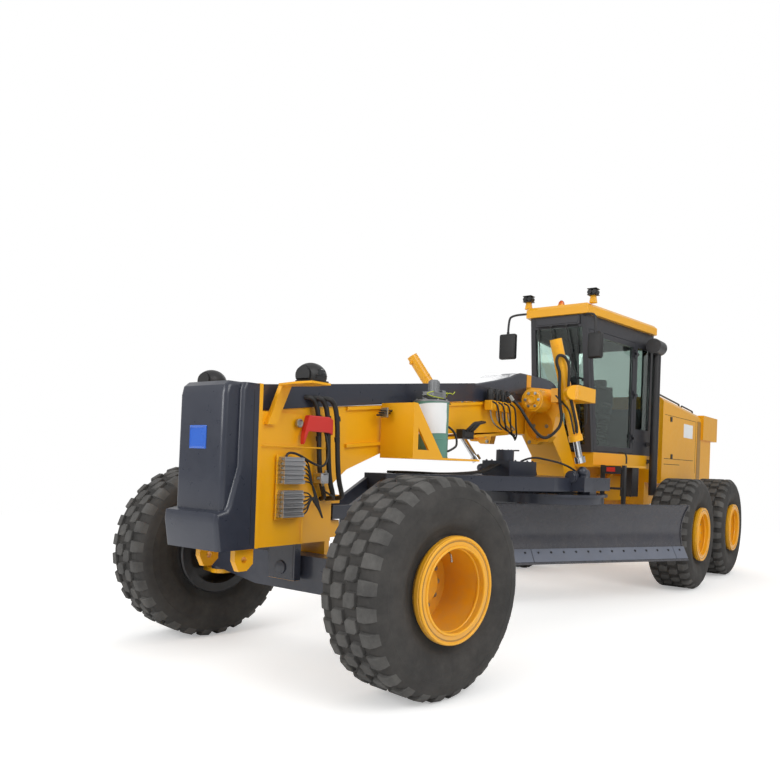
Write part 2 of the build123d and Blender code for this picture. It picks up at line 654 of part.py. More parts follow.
SIDE = Plane(
    origin=(CAB_TOP_X, CAB_FRONT_HALF, 0),
    x_dir=(-cos(radians(CAB_FLARE)), sin(radians(CAB_FLARE)), 0),
    z_dir=(sin(radians(CAB_FLARE)), cos(radians(CAB_FLARE)), 0),
)
DOOR_Z0 = CAB_Z0 + 25
DOOR_Z1 = 3670.0
DOOR_REAR = 1530.0       # along the side wall from the windscreen corner
LEAN_TOP = 75 + (CAB_Z1 - DOOR_Z1) * CAB_LEAN / (CAB_Z1 - CAB_Z0)
LEAN_BOTTOM = 75 + (CAB_Z1 - DOOR_Z0) * CAB_LEAN / (CAB_Z1 - CAB_Z0)


def door_outline(inset):
    """Corners of the door on the side wall, drawn in by an inset."""
    return [
        (LEAN_BOTTOM + inset, DOOR_Z0 + inset), (DOOR_REAR - inset, DOOR_Z0 + inset),
        (DOOR_REAR - inset, DOOR_Z1 - inset), (LEAN_TOP + inset, DOOR_Z1 - inset),
    ]


def wall_cut(outline, depth, mode, outset=0.0):
    """A prism through the left side wall from its outer face inwards."""
    with BuildSketch(SIDE.offset(outset)) as face:
        with BuildLine():
            Polyline(*outline, close=True)
        make_face()
    extrude(face.sketch, amount=-depth, mode=mode)


FRONT_HALF = CAB_FRONT_HALF - 62
SCREEN_Z0 = CAB_Z0 + 110
SCREEN_Z1 = 3700.0
REAR_HALF = 540.0
QUARTER = (DOOR_REAR + 75, 2060.0, 2350.0, DOOR_Z1 - 60)


def quarter_outline(inset):
    """Corners of the side light behind the door, drawn in by an inset."""
    x0, x1, z0, z1 = QUARTER
    return [(x0 + inset, z0 + inset), (x1 - inset, z0 + inset), (x1 - inset, z1 - inset), (x0 + inset, z1 - inset)]


def screen_cut(inset):
    """Takes away what lies ahead of the leaning windscreen plane."""
    side_plate(
        [
            (front_x(CAB_Z0 - 10, inset), CAB_Z0 - 10), (CAB_TOP_X + 60, CAB_Z0 - 10), (CAB_TOP_X + 60, CAB_Z1 + 10),
            (front_x(CAB_Z1 + 10, inset), CAB_Z1 + 10),
        ],
        -1000, 1000, mode=Mode.SUBTRACT,
    )


HINGE_OUT = 20.0
HINGE_ZS = (2180.0, 2850.0, 3480.0)
KNUCKLE_R = 15.0
KNUCKLE_H = 40.0
HINGE_PIN_R = 8.0


def hinge_line(z0, z1, radius, mode=Mode.ADD):
    """A round piece on the left door's hinge line between two heights."""
    foot = SIDE.from_local_coords((DOOR_REAR + DOOR_GAP / 2, z0, HINGE_OUT))
    bar(tuple(foot), (foot.X, foot.Y, z1), radius, mode)


def hinge_leaf(z0, z1, along):
    """The leaf from a hinge knuckle to the wall or the door."""
    x0, x1 = sorted((DOOR_REAR + DOOR_GAP / 2, DOOR_REAR + DOOR_GAP / 2 + along))
    wall_cut([(x0, z0), (x1, z0), (x1, z1), (x0, z1)], KNUCKLE_R, Mode.ADD, HINGE_OUT + 6)
    near, far = sorted((along * 0.25, along))
    x0, x1 = DOOR_REAR + DOOR_GAP / 2 + near, DOOR_REAR + DOOR_GAP / 2 + far
    wall_cut([(x0, z0), (x1, z0), (x1, z1), (x0, z1)], HINGE_OUT + 3, Mode.ADD, HINGE_OUT)


with BuildPart() as frame_knuckles:
    for z in HINGE_ZS:
        hinge_line(z, z + KNUCKLE_H, KNUCKLE_R)
        hinge_leaf(z, z + KNUCKLE_H, 60)
        hinge_line(z - 1, z + KNUCKLE_H + 1, HINGE_PIN_R + RUN_GAP, Mode.SUBTRACT)
    mirror(about=Plane.XZ)

with BuildPart() as cab_room:
    cab_prism(CAB_Z0 + CAB_WALL, CAB_Z1 - CAB_WALL, CAB_WALL)
    screen_cut(CAB_WALL)

with BuildPart() as side_openings:
    wall_cut(door_outline(-DOOR_GAP), CAB_WALL + 20, Mode.ADD, 5)
    wall_cut(quarter_outline(0), CAB_WALL + 20, Mode.ADD, 5)
    mirror(about=Plane.XZ)

with BuildPart() as cab_frame:
    cab_prism(CAB_Z0, CAB_Z1, 0)
    screen_cut(0)
    add(cab_room.part, mode=Mode.SUBTRACT)
    # windscreen, from above the beam to the header, and the rear window
    block(CAB_TOP_X - 500, CAB_TOP_X + 50, -FRONT_HALF, FRONT_HALF, SCREEN_Z0, SCREEN_Z1, mode=Mode.SUBTRACT)
    block(CAB_REAR_X - 10, CAB_REAR_X + 200, -REAR_HALF, REAR_HALF, 2700, 3660, mode=Mode.SUBTRACT)
    add(side_openings.part, mode=Mode.SUBTRACT)
    add(frame_knuckles.part)
finish(cab_frame, "cab_frame")

with BuildPart() as side_panes:
    wall_cut(quarter_outline(GAP), GLASS_T, Mode.ADD, -22)
    mirror(about=Plane.XZ)

with BuildPart() as cab_glass:
    # windscreen sheet in the leaning frame
    low, high = SCREEN_Z0 + GAP, SCREEN_Z1 - GAP
    side_plate(
        [
            (front_x(low, 20), low), (front_x(low, 20 + GLASS_T), low), (front_x(high, 20 + GLASS_T), high),
            (front_x(high, 20), high),
        ],
        -FRONT_HALF + GAP, FRONT_HALF - GAP,
    )
    block(
        CAB_REAR_X + 20, CAB_REAR_X + 20 + GLASS_T, -REAR_HALF + GAP, REAR_HALF - GAP, 2700 + GAP, 3660 - GAP,
    )
    add(side_panes.part)
finish(cab_glass, "cab_glass")

for side_name in ("left", "right"):
    with BuildPart() as door:
        wall_cut(door_outline(0), CAB_WALL, Mode.ADD)
        wall_cut(door_outline(DOOR_FRAME), CAB_WALL + 20, Mode.SUBTRACT, 5)
        for z in HINGE_ZS:
            for low in (z - KNUCKLE_H - GAP, z + KNUCKLE_H + GAP):
                hinge_line(low, low + KNUCKLE_H, KNUCKLE_R)
                hinge_leaf(low, low + KNUCKLE_H, -60)
            hinge_line(z - KNUCKLE_H, z + 2 * KNUCKLE_H, HINGE_PIN_R)
        if side_name == "right":
            mirror(about=Plane.XZ, mode=Mode.REPLACE)
    finish(door, f"door_{side_name}")
    with BuildPart() as pane:
        wall_cut(door_outline(DOOR_FRAME + GAP), GLASS_T, Mode.ADD, -22)
        if side_name == "right":
            mirror(about=Plane.XZ, mode=Mode.REPLACE)
    finish(pane, f"door_glass_{side_name}")

with BuildPart() as cab_roof:
    roof_front = CAB_TOP_X + ROOF_OVER
    roof_rear = CAB_REAR_X - ROOF_OVER
    flat_plate(
        [
            (roof_front, -cab_half(roof_front) - ROOF_OVER), (roof_front, cab_half(roof_front) + ROOF_OVER),
            (roof_rear + 100, cab_half(roof_rear) + ROOF_OVER), (roof_rear, cab_half(roof_rear) - 60),
            (roof_rear, -cab_half(roof_rear) + 60), (roof_rear + 100, -cab_half(roof_rear) - ROOF_OVER),
        ],
        CAB_Z1 + GAP, CAB_Z1 + ROOF_T,
    )
    chamfer(cab_roof.faces().sort_by(Axis.Z)[-1].edges(), 45)
finish(cab_roof, "cab_roof")

with BuildPart() as cab_platform:
    sill_front = CAB_BOTTOM_X - 20 - GAP
    flat_plate(
        [
            (sill_front, -cab_half(sill_front) - 20), (sill_front, cab_half(sill_front) + 20),
            (CAB_REAR_X, cab_half(CAB_REAR_X) + 20), (CAB_REAR_X, -cab_half(CAB_REAR_X) - 20),
        ],
        NECK_TOP_Z + GAP, CAB_Z0 - GAP,
    )
    for side in (1, -1):
        # landing outside each door and the strut below it
        block(FRONT_AXLE_X - 5420, FRONT_AXLE_X - 6260, side * 450, side * 960, NECK_TOP_Z + 10, NECK_TOP_Z + 35)
        bar(
            (FRONT_AXLE_X - 6220, side * 560, NECK_TOP_Z + 20), (FRONT_AXLE_X - 6220, side * (BEAM_HALF + 27.5), 1373), 35,
        )
finish(cab_platform, "cab_platform")

with BuildPart() as ladders:
    for side in (1, -1):
        for y in (640, 940):
            block(FRONT_AXLE_X - 5340, FRONT_AXLE_X - 5420 + GAP, side * (y - 20), side * (y + 20), 560, NECK_TOP_Z + 35)
        for z in (600, 880, 1160, 1440, 1715):
            block(FRONT_AXLE_X - 5300, FRONT_AXLE_X - 5419.7, side * 650, side * 930, z, z + 30)
    # box beside the steps
        block(FRONT_AXLE_X - 5960, FRONT_AXLE_X - 6240, side * 690, side * 860, 1330, NECK_TOP_Z + 10 - GAP)
finish(ladders, "ladders")

with BuildPart() as cab_duct:
    # pipe and the drum on its top
    duct_x, duct_y = FRONT_AXLE_X - 7120, 800
    bar((duct_x, duct_y, 1330), (duct_x, duct_y, 3600), 62)
    with Locations((duct_x + 100, duct_y + 20, 3650)):
        Cylinder(115, 330, rotation=(0, 90, 0))
    # clamps to the platform, the cab's corner and the cab's header
    wall_y = cab_half(duct_x - 40) + GAP
    block(duct_x - 40, duct_x + 40, wall_y + 20, duct_y - 40, 1830, 1890)
    block(duct_x - 40, duct_x + 40, wall_y, duct_y - 40, 2100, 2160)
    block(duct_x - 40, duct_x + 40, wall_y, duct_y - 60, 3630, 3690)
finish(cab_duct, "cab_duct")

MIRROR_X = FRONT_AXLE_X - 5000.0
MIRRORS = (  # side, inner and outer edge, bottom, top
    (1, 510.0, 710.0, 3220.0, 3570.0),
    (-1, 590.0, 850.0, 3280.0, 3650.0),
)
with BuildPart() as mirrors:
    for side, inner, outer, z0, z1 in MIRRORS:
        root_x = CAB_TOP_X - 30
        root_y = cab_half(root_x) + ROOF_OVER
        mid = (inner + outer) / 2
        hose(
            [
                (root_x, side * (root_y + 2.5), CAB_Z1 + 55), (root_x, side * (root_y + 60), CAB_Z1 + 55),
                (MIRROR_X - 10, side * mid, CAB_Z1 - 40), (MIRROR_X - 10, side * mid, z1 - 20),
            ],
            14, 30,
        )
        block(MIRROR_X - 45, MIRROR_X + 25, side * inner, side * outer, z0, z1)
finish(mirrors, "mirrors")

with BuildPart() as roof_lamps:
    for side in (1, -1):
        block(CAB_TOP_X - 120, CAB_TOP_X + 20, side * 420, side * 560, CAB_Z1 + ROOF_T + GAP, CAB_Z1 + ROOF_T + 200)
    with Locations((CAB_TOP_X - 100, 0, CAB_Z1 + ROOF_T + GAP + 50)):
        Cylinder(55, 100)
finish(roof_lamps, "roof_lamps")

with BuildPart() as seat:
    seat_x = FRONT_AXLE_X - 6500
    floor_z = CAB_Z0 + CAB_WALL + GAP
    block(seat_x - 250, seat_x + 250, -250, 250, floor_z + 330, floor_z + 450)
    block(seat_x - 200, seat_x + 200, -180, 180, floor_z, floor_z + 330)
    side_plate(
        [
            (seat_x - 130, floor_z + 450), (seat_x - 250, floor_z + 450), (seat_x - 380, floor_z + 1150),
            (seat_x - 270, floor_z + 1150),
        ],
        -240, 240,
    )
finish(seat, "seat")

with BuildPart() as console:
    post_x = FRONT_AXLE_X - 5750
    block(post_x - 90, post_x + 60, -90, 90, floor_z, floor_z + 750)
    wheel = Plane(origin=(post_x - 60, 0, floor_z + 800), z_dir=(-0.5, 0, 0.87))
    bar((post_x - 20, 0, floor_z + 700), (post_x - 62, 0, floor_z + 808), 30)
    with BuildSketch(wheel) as ring:
        Circle(200)
        Circle(172, mode=Mode.SUBTRACT)
        Rectangle(360, 26)
    extrude(amount=26)
finish(console, "console")

# ---------------------------------------------------------------- drawbar, circle and blade
EYE_R = 62.0
HOUSING_Z1 = DRAWBAR_Z1 + 170


def draw_point(x, y, z):
    """A point given along and across the drawbar."""
    return tuple(DRAW.from_local_coords((x, y, z)))


def plate_on(plane, points, depth, mode=Mode.ADD):
    """A plate from an outline on a plane."""
    with BuildSketch(plane) as face:
        with BuildLine():
            Polyline(*points, close=True)
        make_face()
    extrude(face.sketch, amount=depth, mode=mode)


def side_of(plane, y):
    """Upright plane across another plane's y axis; a plate on it grows towards -y."""
    return Plane(origin=plane.from_local_coords((0, y, 0)), x_dir=plane.x_dir, z_dir=-plane.y_dir)


def box_on(plane, x0, x1, y0, y1, z0, z1, mode=Mode.ADD):
    """A box between two corners of a plane's own frame."""
    flat_plate([(x0, y0), (x1, y0), (x1, y1), (x0, y1)], z0, z1, mode, plane)


PIN_HALF = EAR_HALF + 10 + CHEEK_T
with BuildPart() as drawbar_ball:
    with Locations((BALL_X, 0, BALL_Z)):
        Cylinder(BALL_R, BALL_H)
    bar(draw_point(0, -PIN_HALF, BALL_Z), draw_point(0, PIN_HALF, BALL_Z), CROSS_PIN_R)
finish(drawbar_ball, "drawbar_ball")

with BuildPart() as drawbar:
    # cheeks from the ball's cross pin back to the frame
    for y in (PIN_HALF, -EAR_HALF - 10):
        plate_on(
            side_of(DRAW, y),
            [
                (60, BALL_Z - 60), (60, BALL_Z + 60), (-180, BALL_Z + 60), (-700, DRAWBAR_Z1), (-1300, DRAWBAR_Z1),
                (-1300, DRAWBAR_Z0), (-900, DRAWBAR_Z0 - 40), (-300, BALL_Z - 60),
            ],
            CHEEK_T,
        )
    # frame that widens to the circle
    flat_plate(
        [
            (-620, -PIN_HALF), (-1250, -170), (-2900, -DRAWBAR_HALF), (-DRAW_LENGTH - 620, -DRAWBAR_HALF),
            (-DRAW_LENGTH - 760, -420), (-DRAW_LENGTH - 760, 420), (-DRAW_LENGTH - 620, DRAWBAR_HALF),
            (-2900, DRAWBAR_HALF), (-1250, 170), (-620, PIN_HALF),
        ],
        DRAWBAR_Z0, DRAWBAR_Z1, plane=DRAW,
    )
    flat_plate(
        [(-1500, -60), (-2500, -330), (-2500, 330), (-1500, 60)], DRAWBAR_Z0 - 1, DRAWBAR_Z1 + 1,
        mode=Mode.SUBTRACT, plane=DRAW,
    )
    # turning drive: housing and motor
    box_on(DRAW, -3250, -2660, -190, 190, DRAWBAR_Z1 - 5, HOUSING_Z1)
    bar(draw_point(-2850, 0, DRAWBAR_Z1), draw_point(-2850, 0, DRAWBAR_Z1 + 300), 105)
    # shoes that carry the circle
    for x, y in ((-660, 0), (660, 0), (0, 640), (0, -640)):
        box_on(
            DRAW, -DRAW_LENGTH + x - 80, -DRAW_LENGTH + x + 80, y - 80, y + 80, CIRCLE_Z1 + GAP, DRAWBAR_Z0 + 5,
        )
    # lift arms with their ball studs
    for side in (1, -1):
        y0, y1 = sorted((side * 600, side * (LIFT_BALL_SIDE + 90)))
        box_on(DRAW, -LIFT_BALL_BACK - 110, -LIFT_BALL_BACK + 110, y0, y1, DRAWBAR_Z0, DRAWBAR_Z1 + 5)
        stud = lift_stud(side)
        with Locations(stud):
            Sphere(STUD_R)
        bar((stud.X, stud.Y, DRAWBAR_Z1), tuple(stud), 38)
    bar(
        draw_point(0, -PIN_HALF - 5, BALL_Z), draw_point(0, PIN_HALF + 5, BALL_Z), CROSS_PIN_R + RUN_GAP,
        Mode.SUBTRACT,
    )
finish(drawbar, "drawbar")

CIRC = Plane(
    origin=(CIRCLE_X, CIRCLE_Y, 0), x_dir=(cos(radians(BLADE_HEADING)), sin(radians(BLADE_HEADING)), 0),
    z_dir=(0, 0, 1),
)
ARM_Y = 520.0
ARM_T = 60.0
TIP_X = 70.0
TIP_Z = 800.0
TIP_R = 62.0
TIP_PIN_R = 40.0
RAIL_X0 = 150.0
RAIL_X1 = 196.0
RAIL_ZS = (790.0, 1060.0)
RAIL_H = 40.0
CLAW_T = 15.0


def circ_point(x, y, z):
    """A point given ahead of and along the blade."""
    return tuple(CIRC.from_local_coords((x, y, z)))


with BuildPart() as circle:
    with BuildSketch(CIRC.offset(CIRCLE_Z0)) as ring:
        Circle(CIRCLE_R - 40)
        Circle(CIRCLE_BORE_R, mode=Mode.SUBTRACT)
    extrude(ring.sketch, amount=CIRCLE_Z1 - CIRCLE_Z0)
    with BuildSketch(CIRC.offset(CIRCLE_Z1 - 32)) as flange:
        Circle(CIRCLE_R)
        Circle(CIRCLE_BORE_R - 60, mode=Mode.SUBTRACT)
    extrude(flange.sketch, amount=32)
    for y in (ARM_Y, -ARM_Y):
        plate_on(
            side_of(CIRC, y + ARM_T / 2),
            [
                (-500, CIRCLE_Z0 + 60), (500, CIRCLE_Z0 + 60), (500, CIRCLE_Z0), (320, CIRCLE_Z0), (120, CIRCLE_Z0 - 130),
                (60, 1080), (TIP_X + TIP_R, TIP_Z + 30), (TIP_X + TIP_R - 4, TIP_Z - 30), (TIP_X, TIP_Z - TIP_R),
                (TIP_X - TIP_R, TIP_Z - 30), (-140, 1060), (-480, CIRCLE_Z0),
            ],
            ARM_T,
        )
    bar(
        circ_point(TIP_X, -ARM_Y - 60, TIP_Z), circ_point(TIP_X, ARM_Y + 60, TIP_Z), TIP_PIN_R + RUN_GAP,
        Mode.SUBTRACT,
    )
finish(circle, "circle")

CHORD_HALF = (BLADE_Z1 - BLADE_Z0) / 2
BLADE_MID_Z = (BLADE_Z1 + BLADE_Z0) / 2
CURVE_X = BLADE_AHEAD + (BLADE_CURVE_R**2 - CHORD_HALF**2) ** 0.5
BACK_R = BLADE_CURVE_R + BLADE_T


def face_x(z, radius=BLADE_CURVE_R):
    """Place of the blade's curved face at a height."""
    return CURVE_X - (radius**2 - (z - BLADE_MID_Z) ** 2) ** 0.5


with BuildPart() as blade_carrier:
    bar(circ_point(TIP_X, -ARM_Y - 55, TIP_Z), circ_point(TIP_X, ARM_Y + 55, TIP_Z), TIP_PIN_R)
    inner = ARM_Y - ARM_T / 2 - 5
    bar(circ_point(TIP_X, -inner, TIP_Z), circ_point(TIP_X, inner, TIP_Z), TIP_R)
    low_rail, high_rail = RAIL_ZS
    for y in (-inner + 60, inner - 60):
        box_on(CIRC, TIP_X - 40, RAIL_X0 - GAP, y - 60, y + 60, low_rail - 60, high_rail + 70)
        # claws below the lower rail and above the upper rail
        below = low_rail - RAIL_H / 2 - GAP
        above = high_rail + RAIL_H / 2 + GAP
        box_on(CIRC, RAIL_X0 - 20, RAIL_X1 - 12, y - 60, y + 60, below - CLAW_T, below)
        box_on(CIRC, RAIL_X0 - 20, RAIL_X1 - 12, y - 60, y + 60, above, above + CLAW_T)
finish(blade_carrier, "blade_carrier")

with BuildPart() as moldboard:
    with BuildSketch(side_of(CIRC, BLADE_LEFT)) as section:
        foot = BLADE_Z0 + 20
        with BuildLine():
            ThreePointArc((face_x(foot), foot), (face_x(BLADE_MID_Z), BLADE_MID_Z), (face_x(BLADE_Z1), BLADE_Z1))
            Line((face_x(BLADE_Z1), BLADE_Z1), (face_x(BLADE_Z1, BACK_R), BLADE_Z1))
            ThreePointArc(
                (face_x(BLADE_Z1, BACK_R), BLADE_Z1), (face_x(BLADE_MID_Z, BACK_R), BLADE_MID_Z),
                (face_x(foot, BACK_R), foot),
            )
            Line((face_x(foot, BACK_R), foot), (face_x(foot), foot))
        make_face()
        with BuildLine():
            top = BLADE_Z0 + EDGE_H
            Polyline(
                (face_x(BLADE_Z0) - 10, BLADE_Z0), (face_x(top) - 8, top), (face_x(top) + 16, top + 6),
                (face_x(BLADE_Z0) + 14, BLADE_Z0), close=True,
            )
        make_face()
    extrude(amount=BLADE_LENGTH)
    for z in RAIL_ZS:
        box_on(
            CIRC, RAIL_X0, RAIL_X1, BLADE_LEFT - BLADE_LENGTH + 900, BLADE_LEFT - 500, z - RAIL_H / 2, z + RAIL_H / 2,
        )
        for y in (-1500, -800, 600, 1400):
            box_on(CIRC, RAIL_X1 - 5, 274, y, y + 40, z - 45, z + 45)
finish(moldboard, "moldboard")

# ---------------------------------------------------------------- lift cylinders
for side_name, side in (("left", 1), ("right", -1)):
    top = lift_top(side)
    stud = lift_stud(side)
    up = (top - stud).normalized()
    pin = lift_pin(side)
    eye_low = STUD_R + EYE_GAP - (top - stud).length
    with BuildPart() as barrel:
        bar(tuple(top - up * BARREL_BELOW), tuple(top + up * BARREL_ABOVE), BARREL_R)
        bar(tuple(top - up * BARREL_BELOW), tuple(top - up * (BARREL_BELOW - 70)), BARREL_R + 12)
        bar(tuple(top - up * 62), tuple(top + up * 62), COLLAR_R)
        bar(pin(0), pin(COLLAR_R + 85), LIFT_PIN_R)
        bar(
            tuple(top - up * (BARREL_BELOW + 1)), tuple(top + up * (BARREL_ABOVE - 40)), ROD_R + RUN_GAP,
            Mode.SUBTRACT,
        )
    finish(barrel, f"lift_barrel_{side_name}")
    with BuildPart() as lift_rod:
        bar(tuple(top + up * eye_low), tuple(top - up * 60), ROD_R)
        bar(tuple(top + up * eye_low), tuple(top + up * (eye_low + 70)), EYE_R)
    finish(lift_rod, f"lift_rod_{side_name}")

# ---------------------------------------------------------------- rear body
TONGUE_Z0 = NECK_BOTTOM_Z + 125
TONGUE_Z1 = NECK_TOP_Z - 125
DECK_Z = HOOD_Z0 - GAP
CASE_R = 255.0
with BuildPart() as rear_frame:
    # tongue between the neck's ears, with the bore for their pin
    flat_plate(
        [
            (HINGE_X + 60, -150), (HINGE_X + 150, -70), (HINGE_X + 150, 70), (HINGE_X + 60, 150),
            (HINGE_X - 500, 260), (HOOD_FRONT_X + GAP, 320), (HOOD_FRONT_X + GAP, -320), (HINGE_X - 500, -260),
        ],
        TONGUE_Z0, TONGUE_Z1,
    )
    with Locations((HINGE_X, 0, (TONGUE_Z0 + TONGUE_Z1) / 2)):
        Cylinder(70 + RUN_GAP, 1000, mode=Mode.SUBTRACT)
    # frame and deck under the hood
    block(HOOD_FRONT_X + 30, HOOD_REAR_X, -560, 560, TONGUE_Z0 - 60, DECK_Z - 50)
    block(HOOD_FRONT_X, HOOD_REAR_X, -HOOD_HALF + 5, HOOD_HALF - 5, DECK_Z - 60, DECK_Z)
    # axle housing with the pins the tandem cases swing on
    block(TANDEM_X - 260, TANDEM_X + 260, -480, 480, AXLE_Z - 120, TONGUE_Z0)
    with Locations((TANDEM_X, 0, AXLE_Z)):
        Cylinder(CASE_PIN_R, 2 * (CASE_Y1 - 15), rotation=(90, 0, 0))
        Cylinder(CASE_PIN_R + 60, 2 * (CASE_Y0 - 5), rotation=(90, 0, 0))
    # rear cross member
    block(HOOD_REAR_X + 20, FRONT_AXLE_X - TAIL_REACH + 20, -600, 600, TONGUE_Z0 - 150, TONGUE_Z0 + 200)
finish(rear_frame, "rear_frame")

for side_name, side in (("left", 1), ("right", -1)):
    with BuildPart() as case:
        y0, y1 = sorted((side * CASE_Y0, side * CASE_Y1))
        half = TANDEM_SPACING / 2
        side_plate(
            [
                (TANDEM_X - half, AXLE_Z - CASE_R), (TANDEM_X + half, AXLE_Z - CASE_R),
                (TANDEM_X + half, AXLE_Z + CASE_R - 60), (TANDEM_X + 300, AXLE_Z + CASE_R),
                (TANDEM_X - 300, AXLE_Z + CASE_R), (TANDEM_X - half, AXLE_Z + CASE_R - 60),
            ],
            y0, y1,
        )
        for x in (TANDEM_X + half, TANDEM_X - half):
            # rounded end, drive hub and spindle
            bar((x, side * CASE_Y0, AXLE_Z), (x, side * CASE_Y1, AXLE_Z), CASE_R)
            bar((x, side * (CASE_Y1 - 5), AXLE_Z), (x, side * (TRACK / 2 + REAR_DISC_AT - 76), AXLE_Z), 215)
            bar((x, side * CASE_Y1, AXLE_Z), (x, side * (TRACK / 2 + REAR_DISC_AT + 20), AXLE_Z), HUB_BORE_R - RUN_GAP)
        bar(
            (TANDEM_X, side * (CASE_Y0 - 5), AXLE_Z), (TANDEM_X, side * (CASE_Y1 - 10), AXLE_Z), CASE_PIN_R + RUN_GAP,
            Mode.SUBTRACT,
        )
    finish(case, f"tandem_{side_name}")

TAIL_X = FRONT_AXLE_X - TAIL_REACH
TAIL_HALF = 860.0
TAIL_Z0 = 2330.0
TAIL_Z1 = 2790.0
with BuildPart() as hood:
    side_plate(
        [
            (HOOD_FRONT_X, HOOD_Z0), (HOOD_REAR_X, HOOD_Z0), (HOOD_REAR_X, HOOD_REAR_Z1), (HOOD_FRONT_X, HOOD_FRONT_Z1),
        ],
        -HOOD_HALF, HOOD_HALF,
    )
    top_edges = hood.faces().sort_by(Axis.Z)[-1].edges().filter_by(lambda edge: abs(edge.center().Y) > 700)
    chamfer(top_edges, 70)
    block(TAIL_X, FRONT_AXLE_X - 9900, -TAIL_HALF, TAIL_HALF, TAIL_Z0, TAIL_Z1)
    side_plate(
        [
            (HOOD_FRONT_X - HOOD_WALL, HOOD_Z0 - 5), (HOOD_REAR_X + HOOD_WALL, HOOD_Z0 - 5),
            (HOOD_REAR_X + HOOD_WALL, HOOD_REAR_Z1 - 60), (HOOD_FRONT_X - HOOD_WALL, HOOD_FRONT_Z1 - 60),
        ],
        -HOOD_HALF + HOOD_WALL, HOOD_HALF - HOOD_WALL, mode=Mode.SUBTRACT,
    )
finish(hood, "hood")

with BuildPart() as engine_block:
    block(FRONT_AXLE_X - 7800, FRONT_AXLE_X - 9700, -380, 380, DECK_Z + GAP, 2400)
finish(engine_block, "engine_block")

with BuildPart() as hood_trim:
    # rear grille with its slots
    block(HOOD_REAR_X - GAP, HOOD_REAR_X - 50, -600, 600, 1700, 2300)
    for k in range(6):
        block(HOOD_REAR_X - 30, HOOD_REAR_X - 60, -560, 560, 1735 + 95 * k, 1785 + 95 * k, mode=Mode.SUBTRACT)
    # handrails along the hood's top edges
    slope = (HOOD_FRONT_Z1 - HOOD_REAR_Z1) / (HOOD_FRONT_X - HOOD_REAR_X)
    for side in (1, -1):
        y = side * (HOOD_HALF - 130)
        for x0, x1 in ((-150, -1350), (-1500, -2250)):
            z0, z1 = HOOD_FRONT_Z1 + slope * x0, HOOD_FRONT_Z1 + slope * x1
            hose(
                [
                    (HOOD_FRONT_X + x0, y, z0 + 1.2), (HOOD_FRONT_X + x0, y, z0 + 60),
                    (HOOD_FRONT_X + x1, y, z1 + 60), (HOOD_FRONT_X + x1, y, z1 + 1.2),
                ],
                14, 30,
            )
finish(hood_trim, "hood_trim")
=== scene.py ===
"""Motor grader: camera, studio light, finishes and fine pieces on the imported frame."""

from __future__ import annotations

import logging
import math
from collections.abc import Callable, Iterable, Sequence
from dataclasses import dataclass, field
from enum import Enum

import bpy
import bmesh
from mathutils import Matrix, Vector


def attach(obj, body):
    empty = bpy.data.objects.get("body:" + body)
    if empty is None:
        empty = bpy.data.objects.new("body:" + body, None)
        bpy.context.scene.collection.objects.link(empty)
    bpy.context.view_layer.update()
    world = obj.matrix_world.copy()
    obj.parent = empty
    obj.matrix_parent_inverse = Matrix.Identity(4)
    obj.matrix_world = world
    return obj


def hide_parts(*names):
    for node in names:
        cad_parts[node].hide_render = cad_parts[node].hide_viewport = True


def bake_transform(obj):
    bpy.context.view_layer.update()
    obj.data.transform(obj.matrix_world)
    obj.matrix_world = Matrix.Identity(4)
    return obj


log = logging.getLogger("grader")

FRONT_AXLE_X = 4.895
TANDEM_X = FRONT_AXLE_X - 7.8
TANDEM_SPACING = 2.05
AXLE_Z = 0.8085
Point = Sequence[float]


def ahead(distance: float) -> float:
    """Return the station at a distance ahead of the front axle."""
    return FRONT_AXLE_X + distance


# A wave texture repeats once for this much of its scale.
WAVE_TURN = 6.28


def per_metre(size_mm: float) -> float:
    """Return the texture scale whose pattern repeats about every size in millimetres."""
    return 1000.0 / size_mm


def linear(colour: str, gain: float = 1.0) -> tuple[float, float, float, float]:
    """Turn an sRGB hex colour into linear light.

    Args:
        colour: The colour as "#rrggbb".
        gain: A factor on the linear light, for a lighter or darker shade.

    Returns:
        Red, green, blue and an alpha of 1.
    """
    channels = [int(colour[place : place + 2], 16) / 255 for place in (1, 3, 5)]
    light = [c / 12.92 if c <= 0.04045 else ((c + 0.055) / 1.055) ** 2.4 for c in channels]
    return (*(min(1.0, value * gain) for value in light), 1.0)


def add_node(
    tree: bpy.types.NodeTree,
    kind: str,
    inputs: dict[str | int, object] | None = None,
    **settings: object,
) -> bpy.types.Node:
    """Add a node to a tree with its settings and its inputs.

    Args:
        tree: The tree that gets the node.
        kind: The node's type name.
        inputs: Values or output sockets, by the input's name or number.
        **settings: Properties of the node itself.

    Returns:
        The new node.
    """
    node = tree.nodes.new(kind)
    for name, value in settings.items():
        setattr(node, name, value)
    for name, value in (inputs or {}).items():
        if isinstance(value, bpy.types.NodeSocket):
            tree.links.new(value, node.inputs[name])
        else:
            node.inputs[name].default_value = value
    return node


# ---------------------------------------------------------------- finishes
class Weathering(Enum):
    """How much road dust a finish carries: its strength, and the height where it thins out in metres."""

    NONE = (0.0, 1.0)
    LIGHT = (0.10, 1.6)
    LOW_DOWN = (0.34, 1.3)


